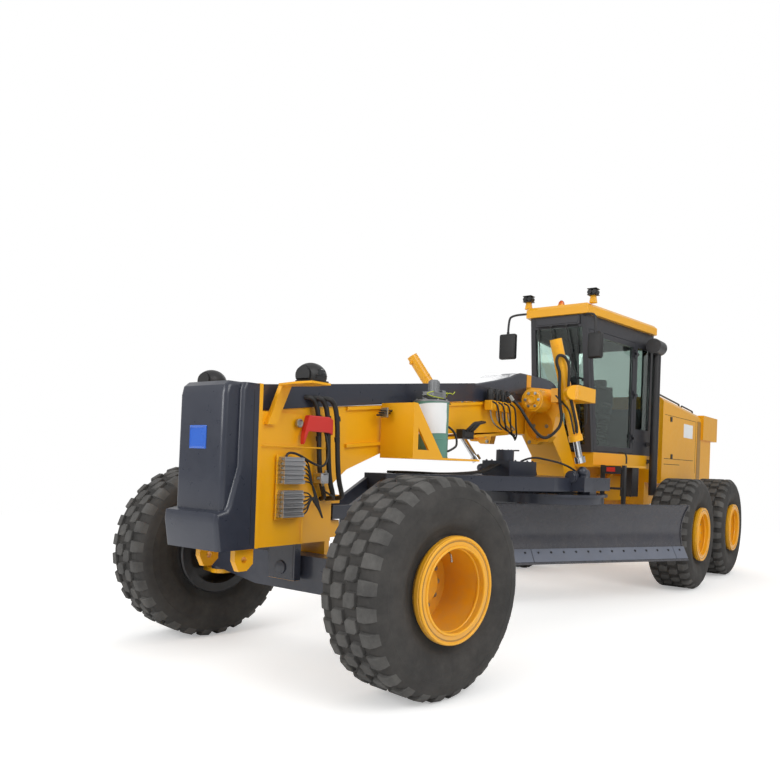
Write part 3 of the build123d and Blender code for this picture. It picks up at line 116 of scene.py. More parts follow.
@dataclass(frozen=True)
class Finish:
    """A painted, moulded or bare surface with a mottled colour, uneven gloss and a fine grain."""

    name: str
    colour: str
    roughness: float
    metallic: float = 0.0
    ior: float = 1.5
    coat: float = 0.0
    coat_roughness: float = 0.08
    mottle: float = 0.06
    mottle_mm: float = 420.0
    gloss_drift: float = 0.06
    grain_mm: float = 9.0
    grain_depth_mm: float = 0.02
    weathering: Weathering = Weathering.LIGHT
    dust: str = "#a89a86"

    def build(self) -> bpy.types.Material:
        """Make the material.

        Returns:
            The material, ready to assign.
        """
        material = bpy.data.materials.new(self.name)
        material.use_nodes = True
        tree = material.node_tree
        tree.nodes.clear()
        place = add_node(tree, "ShaderNodeTexCoord").outputs["Object"]
        shader = self.shader(tree, place)
        add_node(tree, "ShaderNodeOutputMaterial", {"Surface": shader.outputs[0]})
        return material

    def colour_socket(self, tree: bpy.types.NodeTree, place: bpy.types.NodeSocket) -> bpy.types.NodeSocket:
        """Mix the drifting base colour with the dust that lies low down.

        Args:
            tree: The material's tree.
            place: Object coordinates.

        Returns:
            The colour output.
        """
        drift = add_node(
            tree, "ShaderNodeTexNoise",
            {"Vector": place, "Scale": per_metre(self.mottle_mm), "Detail": 5.0, "Roughness": 0.6},
        )
        base = add_node(
            tree, "ShaderNodeMix",
            {0: drift.outputs[0], 6: linear(self.colour, 1 - self.mottle),
                7: linear(self.colour, 1 + self.mottle)},
            data_type="RGBA",
        ).outputs[2]
        strength, fades_at = self.weathering.value
        if strength == 0.0:
            return base
        height = add_node(tree, "ShaderNodeSeparateXYZ", {0: place}).outputs["Z"]
        low = add_node(
            tree, "ShaderNodeMapRange", {0: height, 1: 0.1, 2: fades_at, 3: strength, 4: strength * 0.12},
        ).outputs[0]
        patches = add_node(
            tree, "ShaderNodeTexNoise", {"Vector": place, "Scale": per_metre(140), "Detail": 8.0,
                "Roughness": 0.7},
        ).outputs[0]
        spread = add_node(tree, "ShaderNodeMapRange",
            {0: patches, 1: 0.35, 2: 0.7, 3: 0.25, 4: 1.3}).outputs[0]
        amount = add_node(tree, "ShaderNodeMath", {0: low, 1: spread}, operation="MULTIPLY",
            use_clamp=True).outputs[0]
        return add_node(
            tree, "ShaderNodeMix", {0: amount, 6: base, 7: linear(self.dust)}, data_type="RGBA",
        ).outputs[2]

    def roughness_socket(self, tree: bpy.types.NodeTree, place: bpy.types.NodeSocket) -> bpy.types.NodeSocket:
        """Let the roughness drift a little, as handling and dust do.

        Args:
            tree: The material's tree.
            place: Object coordinates.

        Returns:
            The roughness output.
        """
        wear = add_node(
            tree, "ShaderNodeTexNoise", {"Vector": place, "Scale": per_metre(90), "Detail": 6.0,
                "Roughness": 0.65},
        )
        return add_node(
            tree, "ShaderNodeMapRange",
            {0: wear.outputs[0], 1: 0.3, 2: 0.7, 3: self.roughness - self.gloss_drift,
             4: self.roughness + self.gloss_drift},
        ).outputs[0]

    def normal_socket(self, tree: bpy.types.NodeTree, place: bpy.types.NodeSocket) -> bpy.types.NodeSocket:
        """Raise the surface's fine grain.

        Args:
            tree: The material's tree.
            place: Object coordinates.

        Returns:
            The normal output.
        """
        grain = add_node(
            tree, "ShaderNodeTexNoise", {"Vector": place, "Scale": per_metre(self.grain_mm), "Detail": 3.0},
        )
        return add_node(
            tree, "ShaderNodeBump",
            {"Height": grain.outputs[0], "Strength": 0.35, "Distance": self.grain_depth_mm / 1000},
        ).outputs[0]

    def shader(self, tree: bpy.types.NodeTree, place: bpy.types.NodeSocket) -> bpy.types.Node:
        """Make the surface shader.

        Args:
            tree: The material's tree.
            place: Object coordinates.

        Returns:
            The shader node.
        """
        inputs = {
            "Base Color": self.colour_socket(tree, place),
            "Roughness": self.roughness_socket(tree, place),
            "Normal": self.normal_socket(tree, place),
            "Metallic": self.metallic,
            "Coat Weight": self.coat,
            "Coat Roughness": self.coat_roughness,
        }
        if self.metallic < 0.5:
            inputs["IOR"] = self.ior
        return add_node(tree, "ShaderNodeBsdfPrincipled", inputs)


@dataclass(frozen=True)
class TurnedMetal(Finish):
    """Metal with the fine rings that turning and polishing leave round its length."""

    ring_mm: float = 1.6

    def normal_socket(self, tree: bpy.types.NodeTree, place: bpy.types.NodeSocket) -> bpy.types.NodeSocket:
        """Raise fine rings across the metal's length.

        Args:
            tree: The material's tree.
            place: Object coordinates.

        Returns:
            The normal output.
        """
        rings = add_node(
            tree, "ShaderNodeTexWave", {"Vector": place, "Scale": per_metre(self.ring_mm) / WAVE_TURN,
                "Distortion": 0.6},
            bands_direction="Z",
        )
        return add_node(
            tree, "ShaderNodeBump", {"Height": rings.outputs[1], "Strength": 0.15, "Distance": 0.00005},
        ).outputs[0]


@dataclass(frozen=True)
class Glass(Finish):
    """Tinted sheet or a clear moulded lens."""

    def shader(self, tree: bpy.types.NodeTree, place: bpy.types.NodeSocket) -> bpy.types.Node:
        """Make the see-through shader.

        Args:
            tree: The material's tree.
            place: Object coordinates.

        Returns:
            The shader node.
        """
        streaks = add_node(
            tree, "ShaderNodeTexNoise", {"Vector": place, "Scale": per_metre(60), "Detail": 7.0},
        ).outputs[0]
        film = add_node(
            tree, "ShaderNodeMapRange", {0: streaks, 1: 0.35, 2: 0.75, 3: self.roughness,
                4: self.roughness + 0.05},
        ).outputs[0]
        return add_node(
            tree, "ShaderNodeBsdfPrincipled",
            {"Base Color": linear(self.colour), "Roughness": film, "IOR": self.ior,
                "Transmission Weight": 1.0},
        )


@dataclass(frozen=True)
class Weave(Finish):
    """Upholstery cloth: crossed threads with a soft sheen."""

    thread_mm: float = 6.0

    def normal_socket(self, tree: bpy.types.NodeTree, place: bpy.types.NodeSocket) -> bpy.types.NodeSocket:
        """Raise the crossed threads, drawn coarser than the real cloth so that they show.

        Args:
            tree: The material's tree.
            place: Object coordinates.

        Returns:
            The normal output.
        """
        threads = [
            add_node(
                tree, "ShaderNodeTexWave", {"Vector": place, "Scale": per_metre(self.thread_mm) / WAVE_TURN},
                bands_direction=way,
            ).outputs[1]
            for way in ("X", "Y")
        ]
        cloth = add_node(tree, "ShaderNodeMath", {0: threads[0], 1: threads[1]},
            operation="MULTIPLY").outputs[0]
        return add_node(tree, "ShaderNodeBump",
            {"Height": cloth, "Strength": 0.7, "Distance": 0.0008}).outputs[0]


@dataclass(frozen=True)
class RimWithInnerShade(Finish):
    """Front rim enamel in colour, with painted shade: the inner side is coloured near black for the shade in
    the wheel's hollow.
    """

    # Near-black painted shade for the rim's inner side.
    inner_shade: str = "#1f1f21"
    axle_line: Point = (0.16677, 0.98600, 0.0)
    inner_side: float = 1.236

    def colour_socket(self, tree: bpy.types.NodeTree, place: bpy.types.NodeSocket) -> bpy.types.NodeSocket:
        """Mix in the near-black painted shade where the rim lies nearer the machine's middle.

        Args:
            tree: The material's tree.
            place: Object coordinates.

        Returns:
            The colour output.
        """
        paint = super().colour_socket(tree, place)
        from_axle = add_node(
            tree, "ShaderNodeVectorMath", {0: place, 1: (FRONT_AXLE_X, 0.0, 0.0)}, operation="SUBTRACT",
        ).outputs[0]
        along = add_node(
            tree, "ShaderNodeVectorMath", {0: from_axle, 1: self.axle_line}, operation="DOT_PRODUCT",
        ).outputs["Value"]
        out = add_node(tree, "ShaderNodeMath", {0: along}, operation="ABSOLUTE").outputs[0]
        # Painted shade: the inner side of the rim turns near black.
        inside = add_node(tree, "ShaderNodeMath", {0: out, 1: self.inner_side},
            operation="LESS_THAN").outputs[0]
        return add_node(
            tree, "ShaderNodeMix", {0: inside, 6: paint, 7: linear(self.inner_shade)}, data_type="RGBA",
        ).outputs[2]


@dataclass(frozen=True)
class TyreRubber(Finish):
    """Cured rubber: matt, with pale dust in patches."""

    def colour_socket(self, tree: bpy.types.NodeTree, place: bpy.types.NodeSocket) -> bpy.types.NodeSocket:
        """Mix clean rubber with the pale dust that rolling leaves in patches.

        Args:
            tree: The material's tree.
            place: Object coordinates.

        Returns:
            The colour output.
        """
        patches = add_node(
            tree, "ShaderNodeTexNoise", {"Vector": place, "Scale": per_metre(260), "Detail": 9.0,
                "Roughness": 0.72},
        ).outputs[0]
        amount = add_node(tree, "ShaderNodeMapRange",
            {0: patches, 1: 0.38, 2: 0.72, 3: 0.04, 4: 0.42}).outputs[0]
        return add_node(
            tree, "ShaderNodeMix", {0: amount, 6: linear(self.colour), 7: linear(self.dust)},
            data_type="RGBA",
        ).outputs[2]


# Two-pack acrylic enamel sprayed on welded plate: an even warm yellow with a soft clear gloss.
YELLOW = Finish("sprayed_enamel_yellow", "#f4ae06", 0.36, coat=0.22, mottle=0.04, weathering=Weathering.LIGHT)
# Wheel enamel: yellow outside, near-black painted shade on the inner side, which keeps the far wheel's hollow
# dark.
RIM = RimWithInnerShade("wheel_enamel_yellow_shaded_inside", "#f0aa08", 0.38, coat=0.2, mottle=0.04, weathering=Weathering.LOW_DOWN)
# The same enamel in slate grey, lower in gloss, so plates read as blue-grey steel.
SLATE = Finish("sprayed_enamel_slate", "#2c303c", 0.32, coat=0.25, mottle=0.07, dust="#7f8088")
# The blade's coat is smoother, so its lower half mirrors the pale ground.
BLADE = Finish("sprayed_enamel_blade", "#393b44", 0.27, coat=0.3, mottle=0.08, weathering=Weathering.LIGHT)
# Powder coat on the cab's tubes: near black with a satin light.
BLACK = Finish("powder_coat_black", "#2a2a2d", 0.42, mottle=0.08, grain_mm=5.0, grain_depth_mm=0.08)
# Moulded ABS of lamps, mirrors and the console: black with a fine leather grain.
PLASTIC = Finish("moulded_abs_black", "#1c1d1f", 0.48, mottle=0.1, grain_mm=4.0, grain_depth_mm=0.15)
# Cast and milled aluminium, dull and slightly uneven.
ALUMINIUM = Finish("milled_aluminium", "#b9babd", 0.38, metallic=1.0, mottle=0.1, grain_mm=3.0)
# Enamelled steel drum in green.
GREEN = Finish("drum_enamel_green", "#5f9080", 0.35, coat=0.2, mottle=0.08)
# Rubber hose cover with the faint wrap that curing leaves.
HOSE = Finish("wrapped_hose_rubber", "#1d1d1e", 0.55, mottle=0.12, grain_mm=6.0, grain_depth_mm=0.2)
# Cast iron engine, painted grey.
ENGINE = Finish("cast_iron_grey", "#55585c", 0.6, mottle=0.15, grain_mm=5.0, grain_depth_mm=0.3)
# Tyres: carbon black rubber, greyed by dust.
RUBBER = TyreRubber("cured_tyre_rubber", "#302f2e", 0.8, ior=1.45, grain_mm=7.0, grain_depth_mm=0.25,
    dust="#5b5753")
# The same rubber on the blocks, scuffed grey by the road.
TREAD = TyreRubber("scuffed_tread_rubber", "#424140", 0.85, ior=1.45, grain_mm=7.0, grain_depth_mm=0.35,
    dust="#807e7a")
# Hard chrome on ground steel rods.
CHROME = TurnedMetal("hard_chrome_rod", "#dfe2e6", 0.12, metallic=1.0, gloss_drift=0.03,
    weathering=Weathering.NONE)
# Zinc plated bolts and fittings.
ZINC = Finish("zinc_plated_steel", "#a9aaa6", 0.36, metallic=1.0, mottle=0.15, grain_mm=4.0)
# Toughened glass with a green-grey tint.
PANE = Glass("toughened_glass_tinted", "#b9c8c2", 0.01, ior=1.5)
# Clear polycarbonate lamp lens.
LENS = Glass("clear_polycarbonate", "#f2f5f7", 0.04, ior=1.58)
# Amber polycarbonate beacon dome.
AMBER = Glass("amber_polycarbonate", "#e07a1c", 0.08, ior=1.58)
# Silvered mirror.
MIRROR = Finish("silvered_glass", "#d6dce0", 0.05, metallic=1.0, gloss_drift=0.02, weathering=Weathering.NONE)
# Bright aluminised reflector behind a lens.
REFLECTOR = Finish("aluminised_reflector", "#e9ebee", 0.14, metallic=1.0, weathering=Weathering.NONE)
# Woven polyester seat cloth, charcoal.
CLOTH = Weave("woven_seat_cloth", "#33353a", 0.86, mottle=0.1, weathering=Weathering.NONE)
# Red enamel on a small bracket.
RED = Finish("sprayed_enamel_red", "#d22a22", 0.38, coat=0.2)
# Blue enamel badge plate, left bare.
BLUE = Finish("badge_enamel_blue", "#2c62c4", 0.25, coat=0.5, mottle=0.03, weathering=Weathering.NONE)
# White paper and plate.
PAPER = Finish("bond_paper_white", "#eef0f0", 0.75, mottle=0.03, grain_mm=12.0, grain_depth_mm=0.3)
# Pump housing: bead-blasted light alloy.
PUMP = Finish("blasted_alloy_grey", "#8e9092", 0.5, metallic=0.6, mottle=0.1, grain_mm=4.0)
# Yellow-green cable jacket.
CABLE = Finish("cable_jacket_lime", "#b9c534", 0.5, mottle=0.05)
# Satin grey enamel of the cab's pillars and the trim under its roof: warmer and paler than the tubes.
HEADER = Finish("satin_header_grey", "#2f3036", 0.4, coat=0.15, mottle=0.07)
# Enamel on the cutting edge, paler than the blade: partly dulled by gravel, partly a painted sheen for the
# light on its upturned face.
EDGE = Finish("edge_steel_wear_and_sheen", "#6c7280", 0.36, metallic=0.35, mottle=0.18, mottle_mm=260.0,
    grain_mm=12.0)
# Painted shade between panels and in seams: a flat dark that stands in for the shade there and reads as a
# gap.
GAP_SHADE = Finish("gap_shadow_black", "#141415", 0.7, mottle=0.02, weathering=Weathering.NONE)
# A darker, browner yellow: a brown-gold band down each side of the hood near its rear, and painted shade in
# the recess of each rim between its lock rings.
OCHRE_BAND_AND_RIM_SHADE = Finish("ochre_band_and_rim_shade", "#a97a24", 0.4, coat=0.15, mottle=0.05)
# Worn steel where paint has rubbed off: pins, cutting edge.
WORN = Finish("worn_steel", "#7d8088", 0.34, metallic=0.85, mottle=0.2, mottle_mm=120.0, grain_mm=14.0)


# ---------------------------------------------------------------- modelling by operators
def deselect() -> None:
    """Leave edit mode and deselect every object."""
    if bpy.context.object and bpy.context.object.mode != "OBJECT":
        bpy.ops.object.mode_set(mode="OBJECT")
    bpy.ops.object.select_all(action="DESELECT")


def make_active(piece: bpy.types.Object) -> None:
    """Select one piece alone and make it active."""
    deselect()
    piece.select_set(True)
    bpy.context.view_layer.objects.active = piece


def settle(piece: bpy.types.Object) -> bpy.types.Object:
    """Put a piece's place into its mesh, so that its object sits unturned at the origin."""
    make_active(piece)
    bpy.ops.object.transform_apply(location=True, rotation=True, scale=True)
    return piece


def box(name: str, low: Point, high: Point) -> bpy.types.Object:
    """Start a piece as a box between two corners.

    Args:
        name: The piece's name.
        low: Its lowest corner in metres.
        high: Its highest corner in metres.

    Returns:
        The new piece.
    """
    deselect()
    low, high = Vector(low), Vector(high)
    bpy.ops.mesh.primitive_cube_add(size=1, location=(low + high) / 2, scale=high - low)
    piece = bpy.context.object
    piece.name = name
    return settle(piece)


def drum(name: str, start: Point, end: Point, radius: float, sides: int = 24) -> bpy.types.Object:
    """Start a piece as a drum from one point to another.

    Args:
        name: The piece's name.
        start: Centre of its first end in metres.
        end: Centre of its last end in metres.
        radius: Its radius in metres.
        sides: Faces round it.

    Returns:
        The new piece.
    """
    deselect()
    start, end = Vector(start), Vector(end)
    along = end - start
    bpy.ops.mesh.primitive_cylinder_add(
        vertices=sides, radius=radius, depth=along.length, location=(start + end) / 2,
        rotation=along.to_track_quat("Z", "Y").to_euler(),
    )
    piece = bpy.context.object
    piece.name = name
    return settle(piece)


def pick(
    piece: bpy.types.Object, faces: Callable[[bmesh.types.BMFace], bool] | None = None,
    edges: Callable[[bmesh.types.BMEdge], bool] | None = None,
) -> None:
    """Enter edit mode with the faces or edges that pass a test selected.

    Args:
        piece: The piece to edit.
        faces: The test for a face, by its place or normal.
        edges: The test for an edge.
    """
    make_active(piece)
    bpy.ops.object.mode_set(mode="EDIT")
    bpy.ops.mesh.select_mode(type="FACE" if faces else "EDGE")
    bpy.ops.mesh.select_all(action="DESELECT")
    work = bmesh.from_edit_mesh(piece.data)
    chosen = [f for f in work.faces if faces(f)] if faces else [e for e in work.edges if edges(e)]
    for part in chosen:
        part.select_set(True)
    bmesh.update_edit_mesh(piece.data)


def facing(way: Point, tight: float = 0.9) -> Callable[[bmesh.types.BMFace], bool]:
    """Return a test for faces whose normal points a way."""
    way = Vector(way).normalized()
    return lambda face: face.normal.dot(way) > tight


def bevel(
    piece: bpy.types.Object, width: float, segments: int = 2,
    edges: Callable[[bmesh.types.BMEdge], bool] | None = None,
) -> bpy.types.Object:
    """Round a piece's edges.

    Args:
        piece: The piece.
        width: The bevel's width in metres.
        segments: Faces across the bevel.
        edges: The test for the edges to round, or None for all sharp ones.

    Returns:
        The same piece.
    """
    pick(piece, edges=edges or (lambda edge: len(edge.link_faces) == 2 and edge.calc_face_angle(0) > 0.5))
    bpy.ops.mesh.bevel(offset=width, segments=segments, affect="EDGES", clamp_overlap=True)
    bpy.ops.object.mode_set(mode="OBJECT")
    return piece


def inset_and_push(piece: bpy.types.Object, way: Point, rim: float, depth: float) -> bpy.types.Object:
    """Inset the faces that look one way and push them in, or out where the depth is negative.

    Args:
        piece: The piece.
        way: Where the faces look.
        rim: Width left round the inset in metres.
        depth: How far they go in, in metres.

    Returns:
        The same piece.
    """
    pick(piece, faces=facing(way))
    bpy.ops.mesh.inset(thickness=rim, depth=0)
    bpy.ops.mesh.extrude_region_move(
        TRANSFORM_OT_translate={"value": tuple(-Vector(way).normalized() * depth)},
    )
    bpy.ops.object.mode_set(mode="OBJECT")
    return piece


def tidy_normals(piece: bpy.types.Object) -> bpy.types.Object:
    """Merge a piece's doubled points and turn its faces outwards."""
    make_active(piece)
    bpy.ops.object.mode_set(mode="EDIT")
    bpy.ops.mesh.select_all(action="SELECT")
    bpy.ops.mesh.remove_doubles(threshold=0.00002)
    bpy.ops.mesh.normals_make_consistent(inside=False)
    bpy.ops.object.mode_set(mode="OBJECT")
    return piece


def smooth(piece: bpy.types.Object, angle: float = 40.0) -> bpy.types.Object:
    """Shade a piece smooth, keeping edges sharper than an angle in degrees."""
    make_active(piece)
    bpy.ops.object.shade_smooth_by_angle(angle=math.radians(angle))
    return piece


def joined(name: str, pieces: Iterable[bpy.types.Object]) -> bpy.types.Object:
    """Join several pieces into one.

    Args:
        name: The joined piece's name.
        pieces: The pieces.

    Returns:
        The joined piece.
    """
    pieces = list(pieces)
    make_active(pieces[0])
    for piece in pieces[1:]:
        piece.select_set(True)
    if len(pieces) > 1:
        bpy.ops.object.join()
    whole = bpy.context.object
    whole.name = name
    return whole


def copied(piece: bpy.types.Object, moves: Iterable[Matrix], name: str) -> bpy.types.Object:
    """Copy a piece to one or more places and join the copies, leaving the piece as it is.

    Args:
        piece: The piece, modelled once.
        moves: One matrix for each copy.
        name: The joined copies' name.

    Returns:
        The joined copies.
    """
    copies = []
    for move in moves:
        twin = piece.copy()
        twin.data = piece.data.copy()
        twin.data.transform(move)
        if move.determinant() < 0:
            twin.data.flip_normals()
        bpy.context.collection.objects.link(twin)
        copies.append(twin)
    return joined(name, copies)


def spread(piece: bpy.types.Object, moves: Iterable[Matrix], name: str) -> bpy.types.Object:
    """Copy a piece to many places, join the copies and drop the piece they came from."""
    whole = copied(piece, moves, name)
    bpy.data.objects.remove(piece, do_unlink=True)
    return whole


def tube(name: str, route: Sequence[Point], radius: float, smoothness: int = 10) -> bpy.types.Object:
    """Run a hose or a pipe along a route as one smooth tube with closed ends.

    Args:
        name: The piece's name.
        route: Control points in metres.
        radius: The tube's radius in metres.
        smoothness: Lengths of tube between two control points.

    Returns:
        The tube as a mesh.
    """
    deselect()
    line = bpy.data.curves.new(name, "CURVE")
    line.dimensions = "3D"
    line.bevel_depth = radius
    line.bevel_resolution = 3
    line.use_fill_caps = True
    spline = line.splines.new("NURBS")
    spline.points.add(len(route) - 1)
    for spot, at in zip(spline.points, route):
        spot.co = (*at, 1.0)
    spline.order_u = 3
    spline.use_endpoint_u = True
    spline.resolution_u = smoothness
    piece = bpy.data.objects.new(name, line)
    bpy.context.collection.objects.link(piece)
    make_active(piece)
    bpy.ops.object.convert(target="MESH")
    piece = bpy.context.object
    piece.name = name
    return smooth(tidy_normals(piece), 60)


def bolt(name: str, at: Point, way: Point, across: float = 0.03, high: float = 0.014) -> bpy.types.Object:
    """Make a hexagon bolt head on its washer.

    Args:
        name: The piece's name.
        at: Where the washer meets the surface.
        way: Outward direction.
        across: Size across the head's corners in metres.
        high: Height of the head in metres.

    Returns:
        The bolt.
    """
    at, way = Vector(at), Vector(way).normalized()
    washer = drum(f"{name}_washer", at - way * 0.003, at + way * high * 0.25, across * 0.68, 16)
    bevel(washer, high * 0.08, 1)
    head = drum(f"{name}_head", at, at + way * high, across / 2, 6)
    inset_and_push(head, way, across * 0.08, -high * 0.12)
    return joined(name, [head, washer])


def dress(
    piece: bpy.types.Object, material: bpy.types.Material, body: str,
    replaces: Sequence[str] = (),
) -> bpy.types.Object:
    """Give a finished piece its material and its body.

    Args:
        piece: The piece.
        material: Its material.
        body: The body it rides on.
        replaces: Nodes it stands for.

    Returns:
        The same piece.
    """
    piece.data.materials.clear()
    piece.data.materials.append(material)
    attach(piece, body)
    if replaces:
        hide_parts(*replaces)
    log.info("%s on %s", piece.name, body)
    return piece


@dataclass
class Shelf:
    """The finishes in use, each made once."""

    made: dict[str, bpy.types.Material] = field(default_factory=dict)

    def take(self, finish: Finish) -> bpy.types.Material:
        """Return a finish's material, making it the first time."""
        if finish.name not in self.made:
            self.made[finish.name] = finish.build()
        return self.made[finish.name]


@dataclass
class Assembly:
    """A sub-assembly of the grader, built from the frame and a shelf of finishes."""

    shelf: Shelf

    def build(self) -> None:
        """Build every piece of the sub-assembly."""
        raise NotImplementedError


def touch(node: str, start: Point, way: Point) -> tuple[Vector, Vector]:
    """Find where a straight line first meets a node of the frame.

    Args:
        node: The node's name.
        start: Where the line starts.
        way: Its direction.

    Returns:
        The point and the surface's normal there.
    """
    hit, at, normal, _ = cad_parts[node].ray_cast(Vector(start), Vector(way).normalized())
    if not hit:
        raise ValueError(f"nothing of {node} lies ahead of {tuple(start)}")
    return at.copy(), normal.copy()


def soft_box(name: str, low: Point, high: Point, crown: float, cuts: int = 3) -> bpy.types.Object:
    """Make a cushion whose sides pull in at the corners and whose middle swells, by subdivision.

    Args:
        name: The piece's name.
        low: Its lowest corner.
        high: Its highest corner.
        crown: How far each face swells at its middle, in metres.
        cuts: Cuts along each edge before smoothing.

    Returns:
        The cushion.
    """
    pad = box(name, low, high)
    make_active(pad)
    bpy.ops.object.mode_set(mode="EDIT")
    bpy.ops.mesh.select_all(action="SELECT")
    bpy.ops.mesh.subdivide(number_cuts=cuts)
    bpy.ops.object.mode_set(mode="OBJECT")
    low, high = Vector(low), Vector(high)
    middle, half = (low + high) / 2, (high - low) / 2
    for spot in pad.data.vertices:
        away = [(spot.co[axis] - middle[axis]) / half[axis] for axis in range(3)]
        for axis in range(3):
            others = [away[other] for other in range(3) if other != axis]
            fullness = (1 - others[0] ** 2) * (1 - others[1] ** 2)
            spot.co[axis] += away[axis] * crown * (fullness - 0.55)
    make_active(pad)
    rounding = pad.modifiers.new("rounding", "SUBSURF")
    rounding.levels = rounding.render_levels = 2
    bpy.ops.object.modifier_apply(modifier="rounding")
    return smooth(pad, 80)


def slab(name: str, outline: tuple[tuple[float, float], ...], low_y: float,
    high_y: float) -> bpy.types.Object:
    """Make a slab from its side outline: a flat polygon shaped to the outline, then drawn out across.

    Args:
        name: The piece's name.
        outline: The outline's corners, as x and z.
        low_y: Where the slab starts across.
        high_y: Where it ends.

    Returns:
        The slab.
    """
    deselect()
    bpy.ops.mesh.primitive_circle_add(vertices=len(outline), fill_type="NGON")
    piece = settle(bpy.context.object)
    piece.name = name
    for spot, (x, z) in zip(piece.data.vertices, outline):
        spot.co = (x, low_y, z)
    make_active(piece)
    bpy.ops.object.mode_set(mode="EDIT")
    bpy.ops.mesh.select_all(action="SELECT")
    bpy.ops.mesh.extrude_region_move(TRANSFORM_OT_translate={"value": (0, high_y - low_y, 0)})
    bpy.ops.object.mode_set(mode="OBJECT")
    return tidy_normals(piece)


def hoop(name: str, at: Point, radius: float, thickness: float, flat: float = 1.0) -> bpy.types.Object:
    """Make a ring about Z.

    Args:
        name: The piece's name.
        at: Its middle.
        radius: Its radius.
        thickness: Half its section.
        flat: How tall the section is against its breadth.

    Returns:
        The ring.
    """
    deselect()
    bpy.ops.mesh.primitive_torus_add(
        major_radius=radius, minor_radius=thickness, major_segments=72, minor_segments=10, location=at,
    )
    ring = settle(bpy.context.object)
    ring.name = name
    make_active(ring)
    bpy.ops.object.mode_set(mode="EDIT")
    bpy.ops.mesh.select_all(action="SELECT")
    bpy.ops.transform.resize(value=(1, 1, flat), center_override=at)
    bpy.ops.object.mode_set(mode="OBJECT")
    return smooth(ring, 60)


